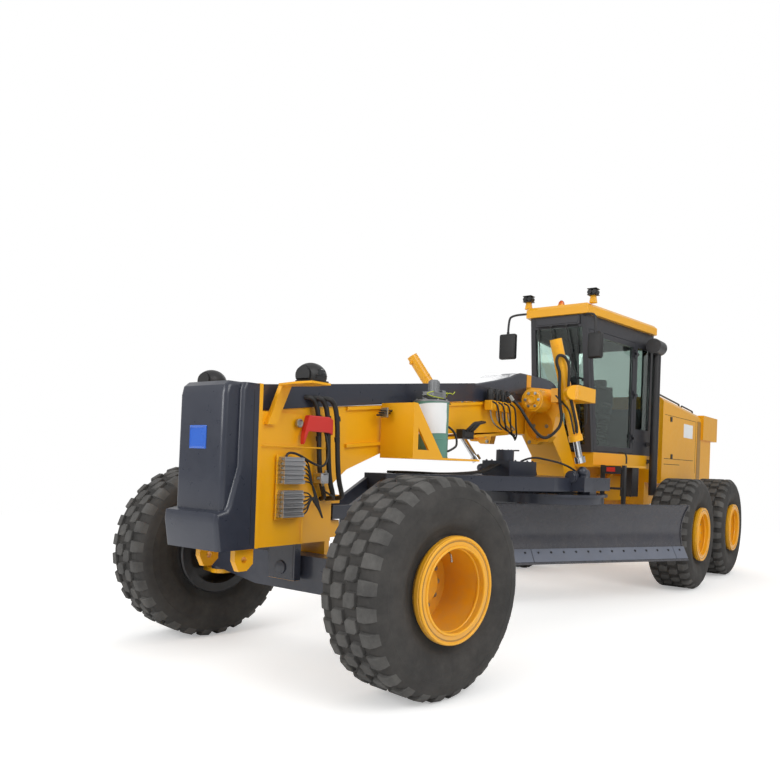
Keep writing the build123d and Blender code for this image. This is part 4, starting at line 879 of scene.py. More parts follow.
# ---------------------------------------------------------------- studio
@dataclass
class Studio:
    """Camera, soft lamps and a plain pale floor."""

    eye: Point = (9.458, 4.345, 1.705)
    heading: float = 3.783
    roll: float = 0.035
    lens_mm: float = 33.6
    shift_up: float = 0.0928
    floor_half: float = 60.0

    def camera(self) -> None:
        """Set the camera level with the nose, ahead of the left front wheel."""
        view = bpy.data.cameras.new("view")
        view.lens = self.lens_mm
        view.sensor_width = 36
        view.shift_y = self.shift_up
        view.clip_end = 400
        camera = bpy.data.objects.new("view", view)
        bpy.context.collection.objects.link(camera)
        forward = Vector((math.cos(self.heading), math.sin(self.heading), 0))
        right = Vector((math.sin(self.heading), -math.cos(self.heading), 0))
        up = Vector((0, 0, 1))
        side = right * math.cos(self.roll) + up * math.sin(self.roll)
        top = up * math.cos(self.roll) - right * math.sin(self.roll)
        turn = Matrix((side, top, -forward)).transposed().to_4x4()
        camera.matrix_world = Matrix.Translation(self.eye) @ turn
        bpy.context.scene.camera = camera

    def lamp(self, name: str, at: Point, aim: Point, size: float, watts: float,
        tone: str = "#ffffff") -> None:
        """Hang a square soft lamp.

        Args:
            name: The lamp's name.
            at: Its place.
            aim: The point it faces.
            size: Its side in metres.
            watts: Its power.
            tone: Its colour as sRGB hex.
        """
        data = bpy.data.lights.new(name, "AREA")
        data.shape = "SQUARE"
        data.size = size
        data.energy = watts
        data.color = linear(tone)[:3]
        lamp = bpy.data.objects.new(name, data)
        bpy.context.collection.objects.link(lamp)
        lamp.matrix_world = Matrix.Translation(at) @ (Vector(aim) - Vector(at)).to_track_quat("-Z",
            "Y").to_matrix().to_4x4()

    def seen_white(self, tree: bpy.types.NodeTree) -> bpy.types.NodeSocket:
        """Return 1 where a ray comes from the camera or through glass, and 0 elsewhere."""
        rays = add_node(tree, "ShaderNodeLightPath")
        either = add_node(
            tree, "ShaderNodeMath",
            {0: rays.outputs["Is Camera Ray"], 1: rays.outputs["Is Transmission Ray"]}, operation="MAXIMUM",
        )
        return either.outputs[0]

    def world(self) -> None:
        """Fill the studio with an even pale light and a white backdrop."""
        world = bpy.data.worlds.new("studio")
        bpy.context.scene.world = world
        world.use_nodes = True
        tree = world.node_tree
        tree.nodes.clear()
        way = add_node(tree, "ShaderNodeTexCoord").outputs["Generated"]
        height = add_node(tree, "ShaderNodeSeparateXYZ", {0: way}).outputs["Z"]
        light = add_node(tree, "ShaderNodeMapRange",
            {0: height, 1: -0.02, 2: 0.45, 3: 0.22, 4: 0.78}).outputs[0]
        strength = add_node(tree, "ShaderNodeMix", {0: self.seen_white(tree), 2: light, 3: 1.0}).outputs[0]
        sky = add_node(tree, "ShaderNodeBackground", {"Color": linear("#ffffff"), "Strength": strength})
        add_node(tree, "ShaderNodeOutputWorld", {"Surface": sky.outputs[0]})

    def floor(self) -> None:
        """Lay the pale floor, white to the camera but for the shadow on it."""
        deselect()
        bpy.ops.mesh.primitive_plane_add(size=self.floor_half * 2, location=(0, 0, -0.001))
        floor = settle(bpy.context.object)
        floor.name = "floor"
        material = bpy.data.materials.new("floor_pale_lacquer")
        material.use_nodes = True
        tree = material.node_tree
        tree.nodes.clear()
        lacquer = add_node(
            tree, "ShaderNodeBsdfPrincipled",
            {"Base Color": linear("#f4f4f3"), "Roughness": 0.85, "Specular IOR Level": 0.1},
        )
        glow = add_node(tree, "ShaderNodeEmission", {"Color": linear("#ffffff"), "Strength": 0.34})
        lit = add_node(tree, "ShaderNodeAddShader", {0: lacquer.outputs[0], 1: glow.outputs[0]})
        place = add_node(tree, "ShaderNodeTexCoord").outputs["Object"]
        reach = add_node(tree, "ShaderNodeVectorMath", {0: place}, operation="LENGTH").outputs["Value"]
        far = add_node(tree, "ShaderNodeMapRange", {0: reach, 1: 7.5, 2: 15.0, 3: 0.0, 4: 1.0}).outputs[0]
        white = add_node(tree, "ShaderNodeEmission", {"Color": linear("#ffffff"), "Strength": 1.0})
        lit = add_node(tree, "ShaderNodeMixShader", {0: far, 1: lit.outputs[0], 2: white.outputs[0]})
        mixed = add_node(
            tree, "ShaderNodeMixShader", {0: self.seen_white(tree), 1: lacquer.outputs[0], 2: lit.outputs[0]},
        )
        add_node(tree, "ShaderNodeOutputMaterial", {"Surface": mixed.outputs[0]})
        floor.data.materials.append(material)

    def build(self) -> None:
        """Set up the whole studio."""
        self.camera()
        self.world()
        self.floor()
        self.lamp("key", (6.0, 12.0, 10.0), (0.5, 0.0, 1.2), 8.0, 700)
        self.lamp("nose_fill", (15.0, -2.0, 6.0), (4.0, 0.0, 1.2), 5.0, 460)
        self.lamp("back", (-12.0, -8.0, 9.0), (-2.0, 0.0, 1.5), 8.0, 420)
        scene = bpy.context.scene
        scene.view_settings.view_transform = "Standard"


# ---------------------------------------------------------------- finishes on the frame's own nodes
@dataclass
class FrameFinishes:
    """The finish of each node that shows as it is."""

    shelf: Shelf
    by_finish: tuple[tuple[Finish, tuple[str, ...]], ...] = (
        (YELLOW, (
            "gooseneck", "saddle", "front_brackets", "hood", "rear_frame", "cab_platform", "lift_barrel_left",
            "lift_barrel_right", "cab_roof", "knuckle_left", "knuckle_right", "rim_middle_left",
            "rim_middle_right",
            "rim_rear_left", "rim_rear_right",
        )),
        (RIM, ("rim_front_left", "rim_front_right")),
        (SLATE, (
            "beam_cover", "cowl", "drawbar", "drawbar_ball", "circle", "blade_carrier", "front_axle",
            "tie_rod",
            "tandem_left", "tandem_right",
        )),
        (BLADE, ("moldboard",)),
        (HEADER, ("cab_frame", "door_left", "door_right")),
        (BLACK, ("cab_duct", "ladders", "hood_trim")),
        (PLASTIC, ("headlamps", "roof_lamps", "mirrors", "console")),
        (ALUMINIUM, ("hydraulic_blocks",)),
        (GREEN, ("grease_barrel",)),
        (HOSE, ("front_hoses",)),
        (ENGINE, ("engine_block",)),
        (CHROME, ("lift_rod_left", "lift_rod_right")),
        (PANE, ("cab_glass", "door_glass_left", "door_glass_right")),
        (RUBBER, (
            "tyre_front_left", "tyre_front_right", "tyre_middle_left", "tyre_middle_right", "tyre_rear_left",
            "tyre_rear_right",
        )),
        (CLOTH, ("seat",)),
    )

    def build(self) -> None:
        """Assign each finish to its nodes' material slots."""
        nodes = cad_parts
        for finish, names in self.by_finish:
            material = self.shelf.take(finish)
            for name in names:
                for spot in nodes[name].material_slots:
                    spot.material = material
            log.info("%s on %s nodes", finish.name, len(names))


# ---------------------------------------------------------------- wheels
@dataclass
class Wheels(Assembly):
    """Tyres with their block tread, wheel nuts and valves, turned about a common axle line."""

    root_r: float = 0.7785
    pitches: int = 28
    steer: float = math.radians(-9.6)
    track: float = 2.7
    kingpin_y: float = 1.0
    front_face: float = -0.077
    rear_face: float = 0.188
    # radius and distance along the axle, from the tread's edge round the side to the bead
    side_profile: tuple[tuple[float, float], ...] = (
        (0.7760, 0.226), (0.7620, 0.256), (0.7400, 0.277), (0.7050, 0.291), (0.6600, 0.299), (0.6560, 0.2965),
        (0.6060, 0.2995), (0.5980, 0.2965), (0.5400, 0.289), (0.4880, 0.272), (0.4480, 0.250),
        (0.4440, 0.2462),
        (0.4160, 0.2365), (0.3960, 0.2300), (0.3935, 0.2262),
    )
    bead_r: float = 0.3350

    def carcass(self) -> bpy.types.Object:
        """Make the tyre's body about the Z axis by drawing its two ends out and in.

        Returns:
            The carcass.
        """
        body = drum("carcass", (0, 0, -0.2), (0, 0, 0.2), self.root_r, self.pitches * 4)
        for side in (1, -1):
            pick(body, faces=facing((0, 0, side)))
            reach, along = self.root_r, 0.2
            for radius, out in (*self.side_profile, (self.bead_r, self.side_profile[-1][1])):
                bpy.ops.mesh.extrude_region_move(
                    TRANSFORM_OT_translate={"value": (0, 0, side * (out - along))},
                )
                scale = radius / reach
                bpy.ops.transform.resize(value=(scale, scale, 1), center_override=(0, 0, side * out))
                reach, along = radius, out
            bpy.ops.mesh.delete(type="ONLY_FACE")
            bpy.ops.object.mode_set(mode="OBJECT")
        rim = self.bead_r + 0.0005
        pick(body, edges=lambda edge: edge.is_boundary and all(v.co.xy.length < rim for v in edge.verts))
        bpy.ops.mesh.bridge_edge_loops()
        bpy.ops.object.mode_set(mode="OBJECT")
        return smooth(tidy_normals(body), 35)

    def centre_block(self) -> bpy.types.Object:
        """Make one block of the tread's middle: a lozenge with drafted sides and a soft top edge."""
        top = 0.8062
        block = box("block", (0.768, -0.058, 0.005), (top, 0.058, 0.128))
        pick(block, edges=lambda edge: abs(edge.verts[0].co.x - edge.verts[1].co.x) > 0.01
             and (edge.verts[0].co.y > 0) == (edge.verts[0].co.z > 0.06))
        bpy.ops.mesh.bevel(offset=0.03, segments=1, affect="EDGES")
        bpy.ops.object.mode_set(mode="OBJECT")
        pick(block, faces=facing((1, 0, 0)))
        bpy.ops.transform.resize(value=(1, 0.88, 0.92), center_override=(top, 0, 0.0665))
        bpy.ops.object.mode_set(mode="OBJECT")
        return bevel(block, 0.004, 1, lambda edge: all(v.co.x > top - 0.001 for v in edge.verts))

    def shoulder_lug(self) -> bpy.types.Object:
        """Make one lug that runs from the tread over the tyre's shoulder."""
        top = 0.8062
        lug = box("lug", (0.750, -0.050, 0.146), (top, 0.050, 0.216))
        pick(lug, faces=facing((0, 0, 1)))
        bpy.ops.mesh.extrude_region_move(TRANSFORM_OT_translate={"value": (-0.018, 0, 0.034)})
        bpy.ops.transform.resize(value=(0.8, 0.94, 1), center_override=(0.75, 0, 0.25))
        bpy.ops.mesh.extrude_region_move(TRANSFORM_OT_translate={"value": (-0.030, 0, 0.024)})
        bpy.ops.transform.resize(value=(0.7, 0.86, 1), center_override=(0.73, 0, 0.274))
        bpy.ops.mesh.extrude_region_move(TRANSFORM_OT_translate={"value": (-0.040, 0, 0.012)})
        bpy.ops.transform.resize(value=(0.6, 0.8, 1), center_override=(0.69, 0, 0.286))
        bpy.ops.object.mode_set(mode="OBJECT")
        return bevel(lug, 0.005, 1, lambda edge: all(v.co.x > 0.76 for v in edge.verts))

    def tread(self) -> bpy.types.Object:
        """Copy the blocks and lugs round the tyre."""
        pitch = 2 * math.pi / self.pitches
        other = Matrix.Scale(-1, 4, (0, 0, 1)) @ Matrix.Scale(-1, 4, (0, 1, 0))

        def ring(share: float, flip: bool) -> list[Matrix]:
            """Return the places round the tyre, a share of a pitch on, on one side or the other."""
            return [
                Matrix.Rotation((k + share) * pitch, 4, "Z") @ (other if flip else Matrix.Identity(4))
                for k in range(self.pitches)
            ]

        blocks = spread(self.centre_block(), ring(0.13, False) + ring(-0.13, True), "blocks")
        lugs = spread(self.shoulder_lug(), ring(0.58, False) + ring(0.42, True), "lugs")
        return joined("tread", [smooth(blocks, 30), smooth(lugs, 30)])

    def nuts(self, at: float, ring_r: float, count: int) -> bpy.types.Object:
        """Make the wheel nuts round the hub, each on its stud.

        Args:
            at: Where the disc's outer face stands along the axle.
            ring_r: Radius of the ring of nuts.
            count: How many there are.

        Returns:
            The joined nuts.
        """
        nut = bolt("nut", (ring_r, 0, at), (0, 0, 1), 0.040, 0.024)
        stud = drum("stud", (ring_r, 0, at), (ring_r, 0, at + 0.034), 0.010, 12)
        bevel(stud, 0.002, 1)
        one = joined("nut", [nut, stud])
        return spread(one, [Matrix.Rotation(2 * math.pi * k / count, 4, "Z") for k in range(count)], "nuts")

    def valve(self) -> bpy.types.Object:
        """Make the tyre's valve: a bent stem with its cap."""
        stem = tube("stem", ((0.27, 0, 0.21), (0.26, 0, 0.235), (0.235, 0, 0.25), (0.21, 0, 0.252)), 0.006)
        cap = drum("cap", (0.214, 0, 0.252), (0.196, 0, 0.252), 0.009, 12)
        return joined("valve", [stem, bevel(cap, 0.002, 1)])

    def lock_rings(self) -> tuple[bpy.types.Object, bpy.types.Object]:
        """Make the rings that shape the rim's edge, and a darker ring of painted shade for the recess between
        them, about the Z axis.
        """
        outer = hoop("ring", (0, 0, 0.3105), 0.3755, 0.0125, 0.9)
        lip = hoop("ring", (0, 0, 0.3115), 0.3120, 0.0110, 1.0)
        step = hoop("ring", (0, 0, 0.2600), 0.3000, 0.0080, 1.6)
        gutter_shade = hoop("gutter_shade", (0, 0, 0.3112), 0.3545, 0.0060, 0.5)
        return joined("rings", [outer, lip, step]), gutter_shade

    def places(self) -> dict[str, tuple[Matrix, bool]]:
        """Return each wheel's place in the frame and whether it is a front wheel."""
        found = {}
        reach = self.track / 2 - self.kingpin_y
        for name, side in (("left", 1), ("right", -1)):
            out = Vector((-math.sin(self.steer) * side, math.cos(self.steer) * side, 0))
            middle = Vector((FRONT_AXLE_X, side * self.kingpin_y, AXLE_Z)) + out * reach
            found[f"front_{name}"] = (self.place(middle, out), True)
            for row, way in (("middle", 1), ("rear", -1)):
                middle = Vector((TANDEM_X + way * TANDEM_SPACING / 2, side * self.track / 2, AXLE_Z))
                found[f"{row}_{name}"] = (self.place(middle, Vector((0, side, 0))), False)
        return found

    def place(self, middle: Vector, out: Vector) -> Matrix:
        """Return the move that sets a wheel made about Z onto its axle."""
        up = Vector((0, 0, 1))
        turn = Matrix((up, out.cross(up), out)).transposed().to_4x4()
        return Matrix.Translation(middle) @ turn

    def build(self) -> None:
        """Build the six wheels' tyres and nuts."""
        tyre, tread = self.carcass(), self.tread()
        front_nuts = self.nuts(self.front_face, 0.2, 12)
        rear_nuts = self.nuts(self.rear_face, 0.25, 12)
        valve = self.valve()
        rings, gutter_shade = self.lock_rings()
        for wheel, (move, is_front) in self.places().items():
            body = f"wheel_{wheel}"
            piece = copied(tyre, [move], f"tyre_carcass_{wheel}")
            dress(piece, self.shelf.take(RUBBER), body, (f"tyre_{wheel}",))
            dress(copied(tread, [move], f"tyre_tread_{wheel}"), self.shelf.take(TREAD), body)
            nuts = copied(front_nuts if is_front else rear_nuts, [move], f"wheel_nuts_{wheel}")
            dress(nuts, self.shelf.take(ZINC), body)
            dress(copied(valve, [move], f"valve_{wheel}"), self.shelf.take(ZINC), body)
            dress(copied(rings, [move], f"lock_rings_{wheel}"), self.shelf.take(YELLOW), body)
            # Painted shade: a darker ring in the recess between the lock rings.
            dress(copied(gutter_shade, [move], f"rim_gutter_{wheel}"), self.shelf.take(OCHRE_BAND_AND_RIM_SHADE), body)
        for pattern in (tyre, tread, front_nuts, rear_nuts, valve, rings, gutter_shade):
            bpy.data.objects.remove(pattern, do_unlink=True)


# ---------------------------------------------------------------- nose and front box
@dataclass
class Nose(Assembly):
    """Badge plate, headlamps, valve banks, hoses and small brackets round the front box."""

    box_half: float = 0.3
    lamp_y: float = 0.57
    bank_x: tuple[float, float] = (5.255, 5.485)
    bank_lows: tuple[float, float] = (1.51, 1.25)
    slices: int = 6

    def badge(self) -> None:
        """Set the bare enamel badge plate into the nose."""
        plate = box("badge_plate", (5.972, -0.118, 1.758), (6.000, 0.072, 1.932))
        bevel(plate, 0.006, 2)
        inset_and_push(plate, (1, 0, 0), 0.012, 0.002)
        dress(plate, self.shelf.take(BLUE), "front_frame")

    def headlamps(self) -> None:
        """Build both headlamps: housing, reflector, lens and side marker."""
        housings, lenses, mirrors = [], [], []
        for side in (1, -1):
            y = side * self.lamp_y
            deselect()
            bpy.ops.mesh.primitive_uv_sphere_add(segments=40, ring_count=24, radius=1.0, location=(0, 0, 0))
            shell = settle(bpy.context.object)
            make_active(shell)
            bpy.ops.object.mode_set(mode="EDIT")
            bpy.ops.mesh.select_all(action="SELECT")
            bpy.ops.mesh.bisect(plane_co=(0, 0, -0.36), plane_no=(0, 0, -1), use_fill=True, clear_outer=True)
            bpy.ops.mesh.select_all(action="SELECT")
            bpy.ops.mesh.bisect(plane_co=(0.66, 0, 0), plane_no=(1, 0, 0), use_fill=True, clear_outer=True)
            bpy.ops.mesh.select_all(action="SELECT")
            bpy.ops.transform.resize(value=(0.128, 0.108, 0.100), center_override=(0, 0, 0))
            bpy.ops.transform.translate(value=(5.430, y, 2.334))
            bpy.ops.object.mode_set(mode="OBJECT")
            tidy_normals(shell)
            inset_and_push(shell, (1, 0, 0), 0.010, -0.016)
            foot = box("foot", (5.335, y - 0.095, 2.286), (5.508, y + 0.095, 2.300))
            bevel(foot, 0.004, 1)
            rims = [
                bevel(box("rim", (5.372, y - 0.110, z), (5.488, y + 0.110, z + 0.006)), 0.002,
                    1) for z in (2.312, 2.330)
            ]
            housings += [smooth(shell, 35), foot, *rims]
            for dy in (-0.034, 0.034):
                mirror = drum("mirror", (5.494, y + dy, 2.346), (5.503, y + dy, 2.346), 0.030, 28)
                inset_and_push(mirror, (1, 0, 0), 0.008, -0.006)
                mirrors.append(smooth(mirror))
            lens = box("lens", (5.504, y - 0.066, 2.312), (5.513, y + 0.066, 2.382))
            lenses.append(bevel(lens, 0.003, 2))
            marker = box("marker", (5.400, y + side * 0.090, 2.340), (5.462, y + side * 0.112, 2.378))
            lenses.append(bevel(marker, 0.003, 2))
        dress(joined("headlamp_housings", housings), self.shelf.take(PLASTIC), "front_frame",
            ("headlamps",))
        dress(joined("headlamp_reflectors", mirrors), self.shelf.take(REFLECTOR), "front_frame")
        dress(joined("headlamp_lenses", lenses), self.shelf.take(LENS), "front_frame")

    def valve_banks(self) -> None:
        """Stack the two ribbed banks, each of sandwich plates with fittings, and the pressure sensor."""
        plates, fittings, hoses = [], [], []
        x0, x1 = self.bank_x
        y0, y1 = self.box_half - 0.019, self.box_half + 0.08
        for bank, low in enumerate(self.bank_lows):
            step = 0.21 / self.slices
            for k in range(self.slices):
                z = low + k * step
                shift = 0.006 if k % 2 else 0.0
                plate = box("plate", (x0 + shift, y0, z + 0.002), (x1 - shift, y1 - shift, z + step - 0.002))
                inset_and_push(plate, (0, 1, 0), 0.008, 0.003)
                plates.append(bevel(plate, 0.002, 1))
                core = box("core", (x0 + 0.01, y0, z), (x1 - 0.01, y1 - 0.014, z + step))
                plates.append(bevel(core, 0.002, 1))
                fittings.append(bolt("plug", (x1 - shift, y1 - 0.035, z + step / 2), (1, 0, 0), 0.018, 0.016))
                nut_at = (x0 + shift, y1 - 0.03, z + step / 2)
                fittings.append(bolt("nut", nut_at, (-1, 0, 0), 0.018, 0.016))
                join_at = (5.115, self.box_half + 0.052, 1.47 - 0.012 * k - 0.05 * bank)
                hoses.append(tube(
                    "line",
                    (nut_at, (x0 - 0.05, y1 - 0.028, z + step / 2),
                        (5.17, y1 - 0.022, (z + join_at[2]) / 2 + 0.03), join_at,
                     (5.04, 0.338, 1.34 - 0.008 * k), (4.98, 0.322 + 0.006 * bank, 1.23)),
                    0.0062, 6,
                ))
        sensor = box("sensor", (4.915, 0.235, 1.512), (5.010, 0.325, 1.598))
        plates.append(bevel(inset_and_push(sensor, (0, 1, 0), 0.012, -0.008), 0.004, 1))
        for at, way in (((4.962, 0.33, 1.598), (0, 0, 1)), ((5.010, 0.29, 1.555), (1, 0, 0)),
            ((4.95, 0.29, 1.512), (0, 0, -1))):
            fittings.append(bolt("elbow", at, way, 0.026, 0.022))
        bank_piece = joined("valve_banks", plates)
        dress(bank_piece, self.shelf.take(ALUMINIUM), "front_frame", ("hydraulic_blocks",))
        dress(joined("valve_fittings", fittings), self.shelf.take(ZINC), "front_frame")
        hoses.append(tube(
            "top_line", ((5.44, 0.345, 1.722), (5.43, 0.345, 1.755), (5.34, 0.362, 1.75), (5.18, 0.368, 1.68),
                (5.03, 0.366, 1.64),
                         (4.955, 0.352, 1.74), (4.965, 0.33, 1.90), (4.97, 0.28, 2.0)), 0.010,
        ))
        hoses.append(tube(
            "sensor_line", ((4.95, 0.29, 1.50), (4.945, 0.292, 1.455), (4.90, 0.30, 1.43), (4.82, 0.30, 1.40),
                (4.74, 0.24, 1.37)), 0.009,
        ))
        dress(joined("valve_lines", hoses), self.shelf.take(HOSE), "front_frame")

    def main_hoses(self) -> None:
        """Run the thick hoses that arch out of the beam cover and drop beside the front box."""
        hoses = []
        for k in range(3):
            y = 0.262 + 0.040 * k
            x = ahead(0.235 - 0.07 * k)
            hoses.append(tube(
                "hose",
                ((x, 0.215, 2.205), (x - 0.01, y, 2.222), (x - 0.09, y + 0.012, 2.17),
                    (x - 0.125, y + 0.014, 2.02),
                 (x - 0.135, y + 0.014, 1.78), (x - 0.165, y + 0.010, 1.55), (x - 0.225, y, 1.43),
                 (x - 0.28, y - 0.04, 1.385),
                 (x - 0.30, 0.165, 1.375)),
                0.021, 12,
            ))
            for z in (2.07, 1.9):
                sleeve = drum("sleeve", (x - 0.122, y + 0.014, z), (x - 0.130, y + 0.014, z - 0.04), 0.0235,
                    16)
                hoses.append(bevel(sleeve, 0.002, 1))
        dress(joined("main_hoses", hoses), self.shelf.take(HOSE), "front_frame",
            ("front_hoses",))

    def small_brackets(self) -> None:
        """Fit the red hook, the round plug, the seam flange and the box's stiffener ribs."""
        hook = box("red_hook", (4.955, 0.302, 1.93), (5.20, 0.352, 2.06))
        pick(hook, faces=facing((-1, 0, 0)))
        bpy.ops.mesh.extrude_region_move(TRANSFORM_OT_translate={"value": (-0.045, 0, -0.02)})
        bpy.ops.object.mode_set(mode="OBJECT")
        pick(hook, faces=facing((1, 0, 0)))
        bpy.ops.mesh.extrude_region_move(TRANSFORM_OT_translate={"value": (0.05, 0, -0.11)})
        bpy.ops.transform.resize(value=(1, 1, 0.55), center_override=(5.25, 0.33, 1.82))
        bpy.ops.object.mode_set(mode="OBJECT")
        dress(bevel(hook, 0.008, 2), self.shelf.take(RED), "front_frame")
        plug = drum("box_plug", (5.27, 0.296, 1.99), (5.27, 0.322, 1.99), 0.035, 24)
        bevel(inset_and_push(plug, (0, 1, 0), 0.012, 0.006), 0.003, 1)
        dress(plug, self.shelf.take(ZINC), "front_frame")
        cover = box("hanger_cover", (5.040, -0.156, 0.702), (5.1105, 0.156, 1.024))
        bevel(inset_and_push(cover, (1, 0, 0), 0.020, -0.004), 0.006, 2)
        pin = smooth(bevel(drum("pin", (5.100, 0, 0.80), (5.128, 0, 0.80), 0.058, 36), 0.005, 2))
        dress(joined("hanger_cover", [cover, pin]), self.shelf.take(SLATE), "front_frame")
        ribs = []
        for side in (1, -1):
            seam = box("seam", (4.92, side * 0.300, 1.795), (5.66, side * 0.308, 1.807))
            ribs.append(bevel(seam, 0.003, 1))
            cheek = box("cheek", (5.19, side * 0.300, 1.05), (5.202, side * 0.306, 1.24))
            ribs.append(bevel(cheek, 0.003, 1))
            backing = box("backing", (5.24, side * 0.299, 1.235), (5.50, side * 0.305, 1.735))
            ribs.append(bevel(backing, 0.002, 1))
        dress(joined("box_seams", ribs), self.shelf.take(YELLOW), "front_frame")

    def build(self) -> None:
        """Build the nose's pieces."""
        self.badge()
        self.headlamps()
        self.valve_banks()
        self.main_hoses()
        self.small_brackets()


# ---------------------------------------------------------------- beam, pump, saddle and lift cylinders
# The way each lift barrel points, from its ball up to its cap.
LEFT_BARREL_UP: Point = (0.21156485, -0.15414241, 0.96513234)
RIGHT_BARREL_UP: Point = (0.30801355, -0.46080566, 0.83233755)


@dataclass
class BeamGear(Assembly):
    """Grease pump, solenoid valves, saddle covers, cylinder glands and the hoses between them."""

    barrel: tuple[float, float] = (3.545, 0.411)
    barrel_r: float = 0.17
    saddle_x: float = 1.155
    cap_z: float = 2.52
    cap_y: float = 0.44

    def drum_hoops(self) -> None:
        """Roll the drum's hoops and rim, and wrap the paper sheet round its front."""
        x, y = self.barrel
        hoops = []
        for z, radius in ((1.772, 0.0045), (1.945, 0.0035), (2.125, 0.0035), (2.298, 0.0045)):
            deselect()
            bpy.ops.mesh.primitive_torus_add(
                major_radius=self.barrel_r, minor_radius=radius, major_segments=64, minor_segments=8,
                location=(x, y, z),
            )
            ring = settle(bpy.context.object)
            make_active(ring)
            bpy.ops.object.mode_set(mode="EDIT")
            bpy.ops.mesh.select_all(action="SELECT")
            bpy.ops.transform.resize(value=(1, 1, 1.6), center_override=(x, y, z))
            bpy.ops.object.mode_set(mode="OBJECT")
            hoops.append(smooth(ring, 60))
        dress(joined("drum_hoops", hoops), self.shelf.take(GREEN), "front_frame")
        sheet = drum("paper_sheet", (x, y, 1.985), (x, y, 2.275), self.barrel_r + 0.0035, 72)

        def off_the_sheet(face: bmesh.types.BMFace) -> bool:
            """Return whether a face is a cap or lies round the back."""
            spot = face.calc_center_median() - Vector((x, y, 0))
            turn = math.degrees(math.atan2(spot.y, spot.x))
            return abs(face.normal.z) > 0.5 or not -22 < turn < 88

        pick(sheet, faces=off_the_sheet)
        bpy.ops.mesh.delete(type="FACE")
        bpy.ops.mesh.select_all(action="SELECT")
        bpy.ops.mesh.subdivide(number_cuts=3)
        bpy.ops.object.mode_set(mode="OBJECT")
        for spot in sheet.data.vertices:
            lift = 0.004 * (1 + math.sin(spot.co.z * 31 + spot.co.x * 12)) * abs(math.sin(spot.co.y * 23))
            out = Vector((spot.co.x - x, spot.co.y - y, 0)).normalized()
            spot.co += out * lift
            spot.co.z += 0.10 * (spot.co.y - y)
        dress(smooth(sheet, 60), self.shelf.take(PAPER), "front_frame")

    def pump_head(self) -> None:
        """Build the grease pump on the drum: flange, housing with ribs, motor and outlets."""
        x, y = self.barrel
        parts = [bevel(drum("flange", (x, y, 2.300), (x, y, 2.318), 0.176, 48), 0.003, 1)]
        housing = box("housing", (x - 0.11, y - 0.07, 2.318), (x + 0.06, y + 0.06, 2.405))
        parts.append(bevel(inset_and_push(housing, (0, 1, 0), 0.015, 0.006), 0.008, 2))
        motor = drum("motor", (x - 0.03, y, 2.40), (x - 0.03, y, 2.515), 0.052, 32)
        parts.append(smooth(bevel(inset_and_push(motor, (0, 0, 1), 0.012, -0.010), 0.003, 1)))
        for k in range(10):
            rib = box("rib", (x + 0.018, y - 0.004, 2.412), (x + 0.028, y + 0.004, 2.505))
            bevel(rib, 0.001, 1)
            rib.data.transform(
                Matrix.Translation((x - 0.03, y, 0)) @ Matrix.Rotation(k * math.tau / 10, 4,
                    "Z") @ Matrix.Translation((-(x - 0.03), -y, 0)),
            )
            parts.append(rib)
        control = box("control", (x - 0.175, y - 0.05, 2.325), (x - 0.115, y + 0.05, 2.43))
        parts.append(bevel(inset_and_push(control, (-1, 0, 0), 0.01, -0.006), 0.005, 1))
        dress(joined("pump_head", parts), self.shelf.take(PUMP), "front_frame")
        screws = []
        for k in range(8):
            turn = k * math.tau / 8 + 0.2
            screws.append(bolt("flange_bolt", (x + 0.155 * math.cos(turn), y + 0.155 * math.sin(turn), 2.318),
                (0, 0, 1), 0.016, 0.010))
        for k in range(4):
            screws.append(bolt("outlet", (x + 0.06, y - 0.045 + 0.03 * k, 2.365), (1, 0, 0), 0.018, 0.03))
        dress(joined("pump_bolts", screws), self.shelf.take(ZINC), "front_frame")
        lime = [
            tube("lead", ((x + 0.05, y + 0.05, 2.40), (x + 0.12, y + 0.10, 2.40), (x + 0.17, y + 0.03, 2.37),
                (x + 0.08, y + 0.09, 2.345), (x - 0.02, y + 0.12, 2.34)), 0.0045),
            tube("lead", ((x - 0.11, y + 0.02, 2.39), (x - 0.19, y + 0.06, 2.42), (x - 0.25, y + 0.02, 2.40),
                (x - 0.30, y - 0.05, 2.36), (x - 0.38, y - 0.12, 2.40)), 0.0045),
            tube("lead", ((x - 0.42, 0.29, 2.43), (x - 0.50, 0.31, 2.45), (x - 0.56, 0.30, 2.43),
                (x - 0.62, 0.285, 2.47)), 0.0045),
        ]
        dress(joined("pump_leads", lime), self.shelf.take(CABLE), "front_frame")
        lines = [
            tube("line", ((x + 0.09, y - 0.045 + 0.03 * k, 2.365), (x + 0.15, y - 0.03 + 0.03 * k, 2.36),
                (x + 0.14, y + 0.05, 2.33 - 0.005 * k),
                          (x + 0.0, y + 0.115 + 0.01 * k, 2.335), (x - 0.16, y + 0.05 + 0.012 * k, 2.34),
                          (x - 0.30, 0.305, 2.33), (x - 0.55, 0.285, 2.335)), 0.0055, 8)
            for k in range(3)
        ]
        lines.append(tube("foot_line", ((x - 0.06, y + 0.165, 1.83), (x - 0.11, y + 0.20, 1.86),
            (x - 0.24, y + 0.16, 1.90), (x - 0.30, y + 0.10, 2.02),
                                        (x - 0.25, y + 0.02, 2.10), (x - 0.17, y - 0.02, 2.12)), 0.011))
        dress(joined("pump_lines", lines), self.shelf.take(HOSE), "front_frame")

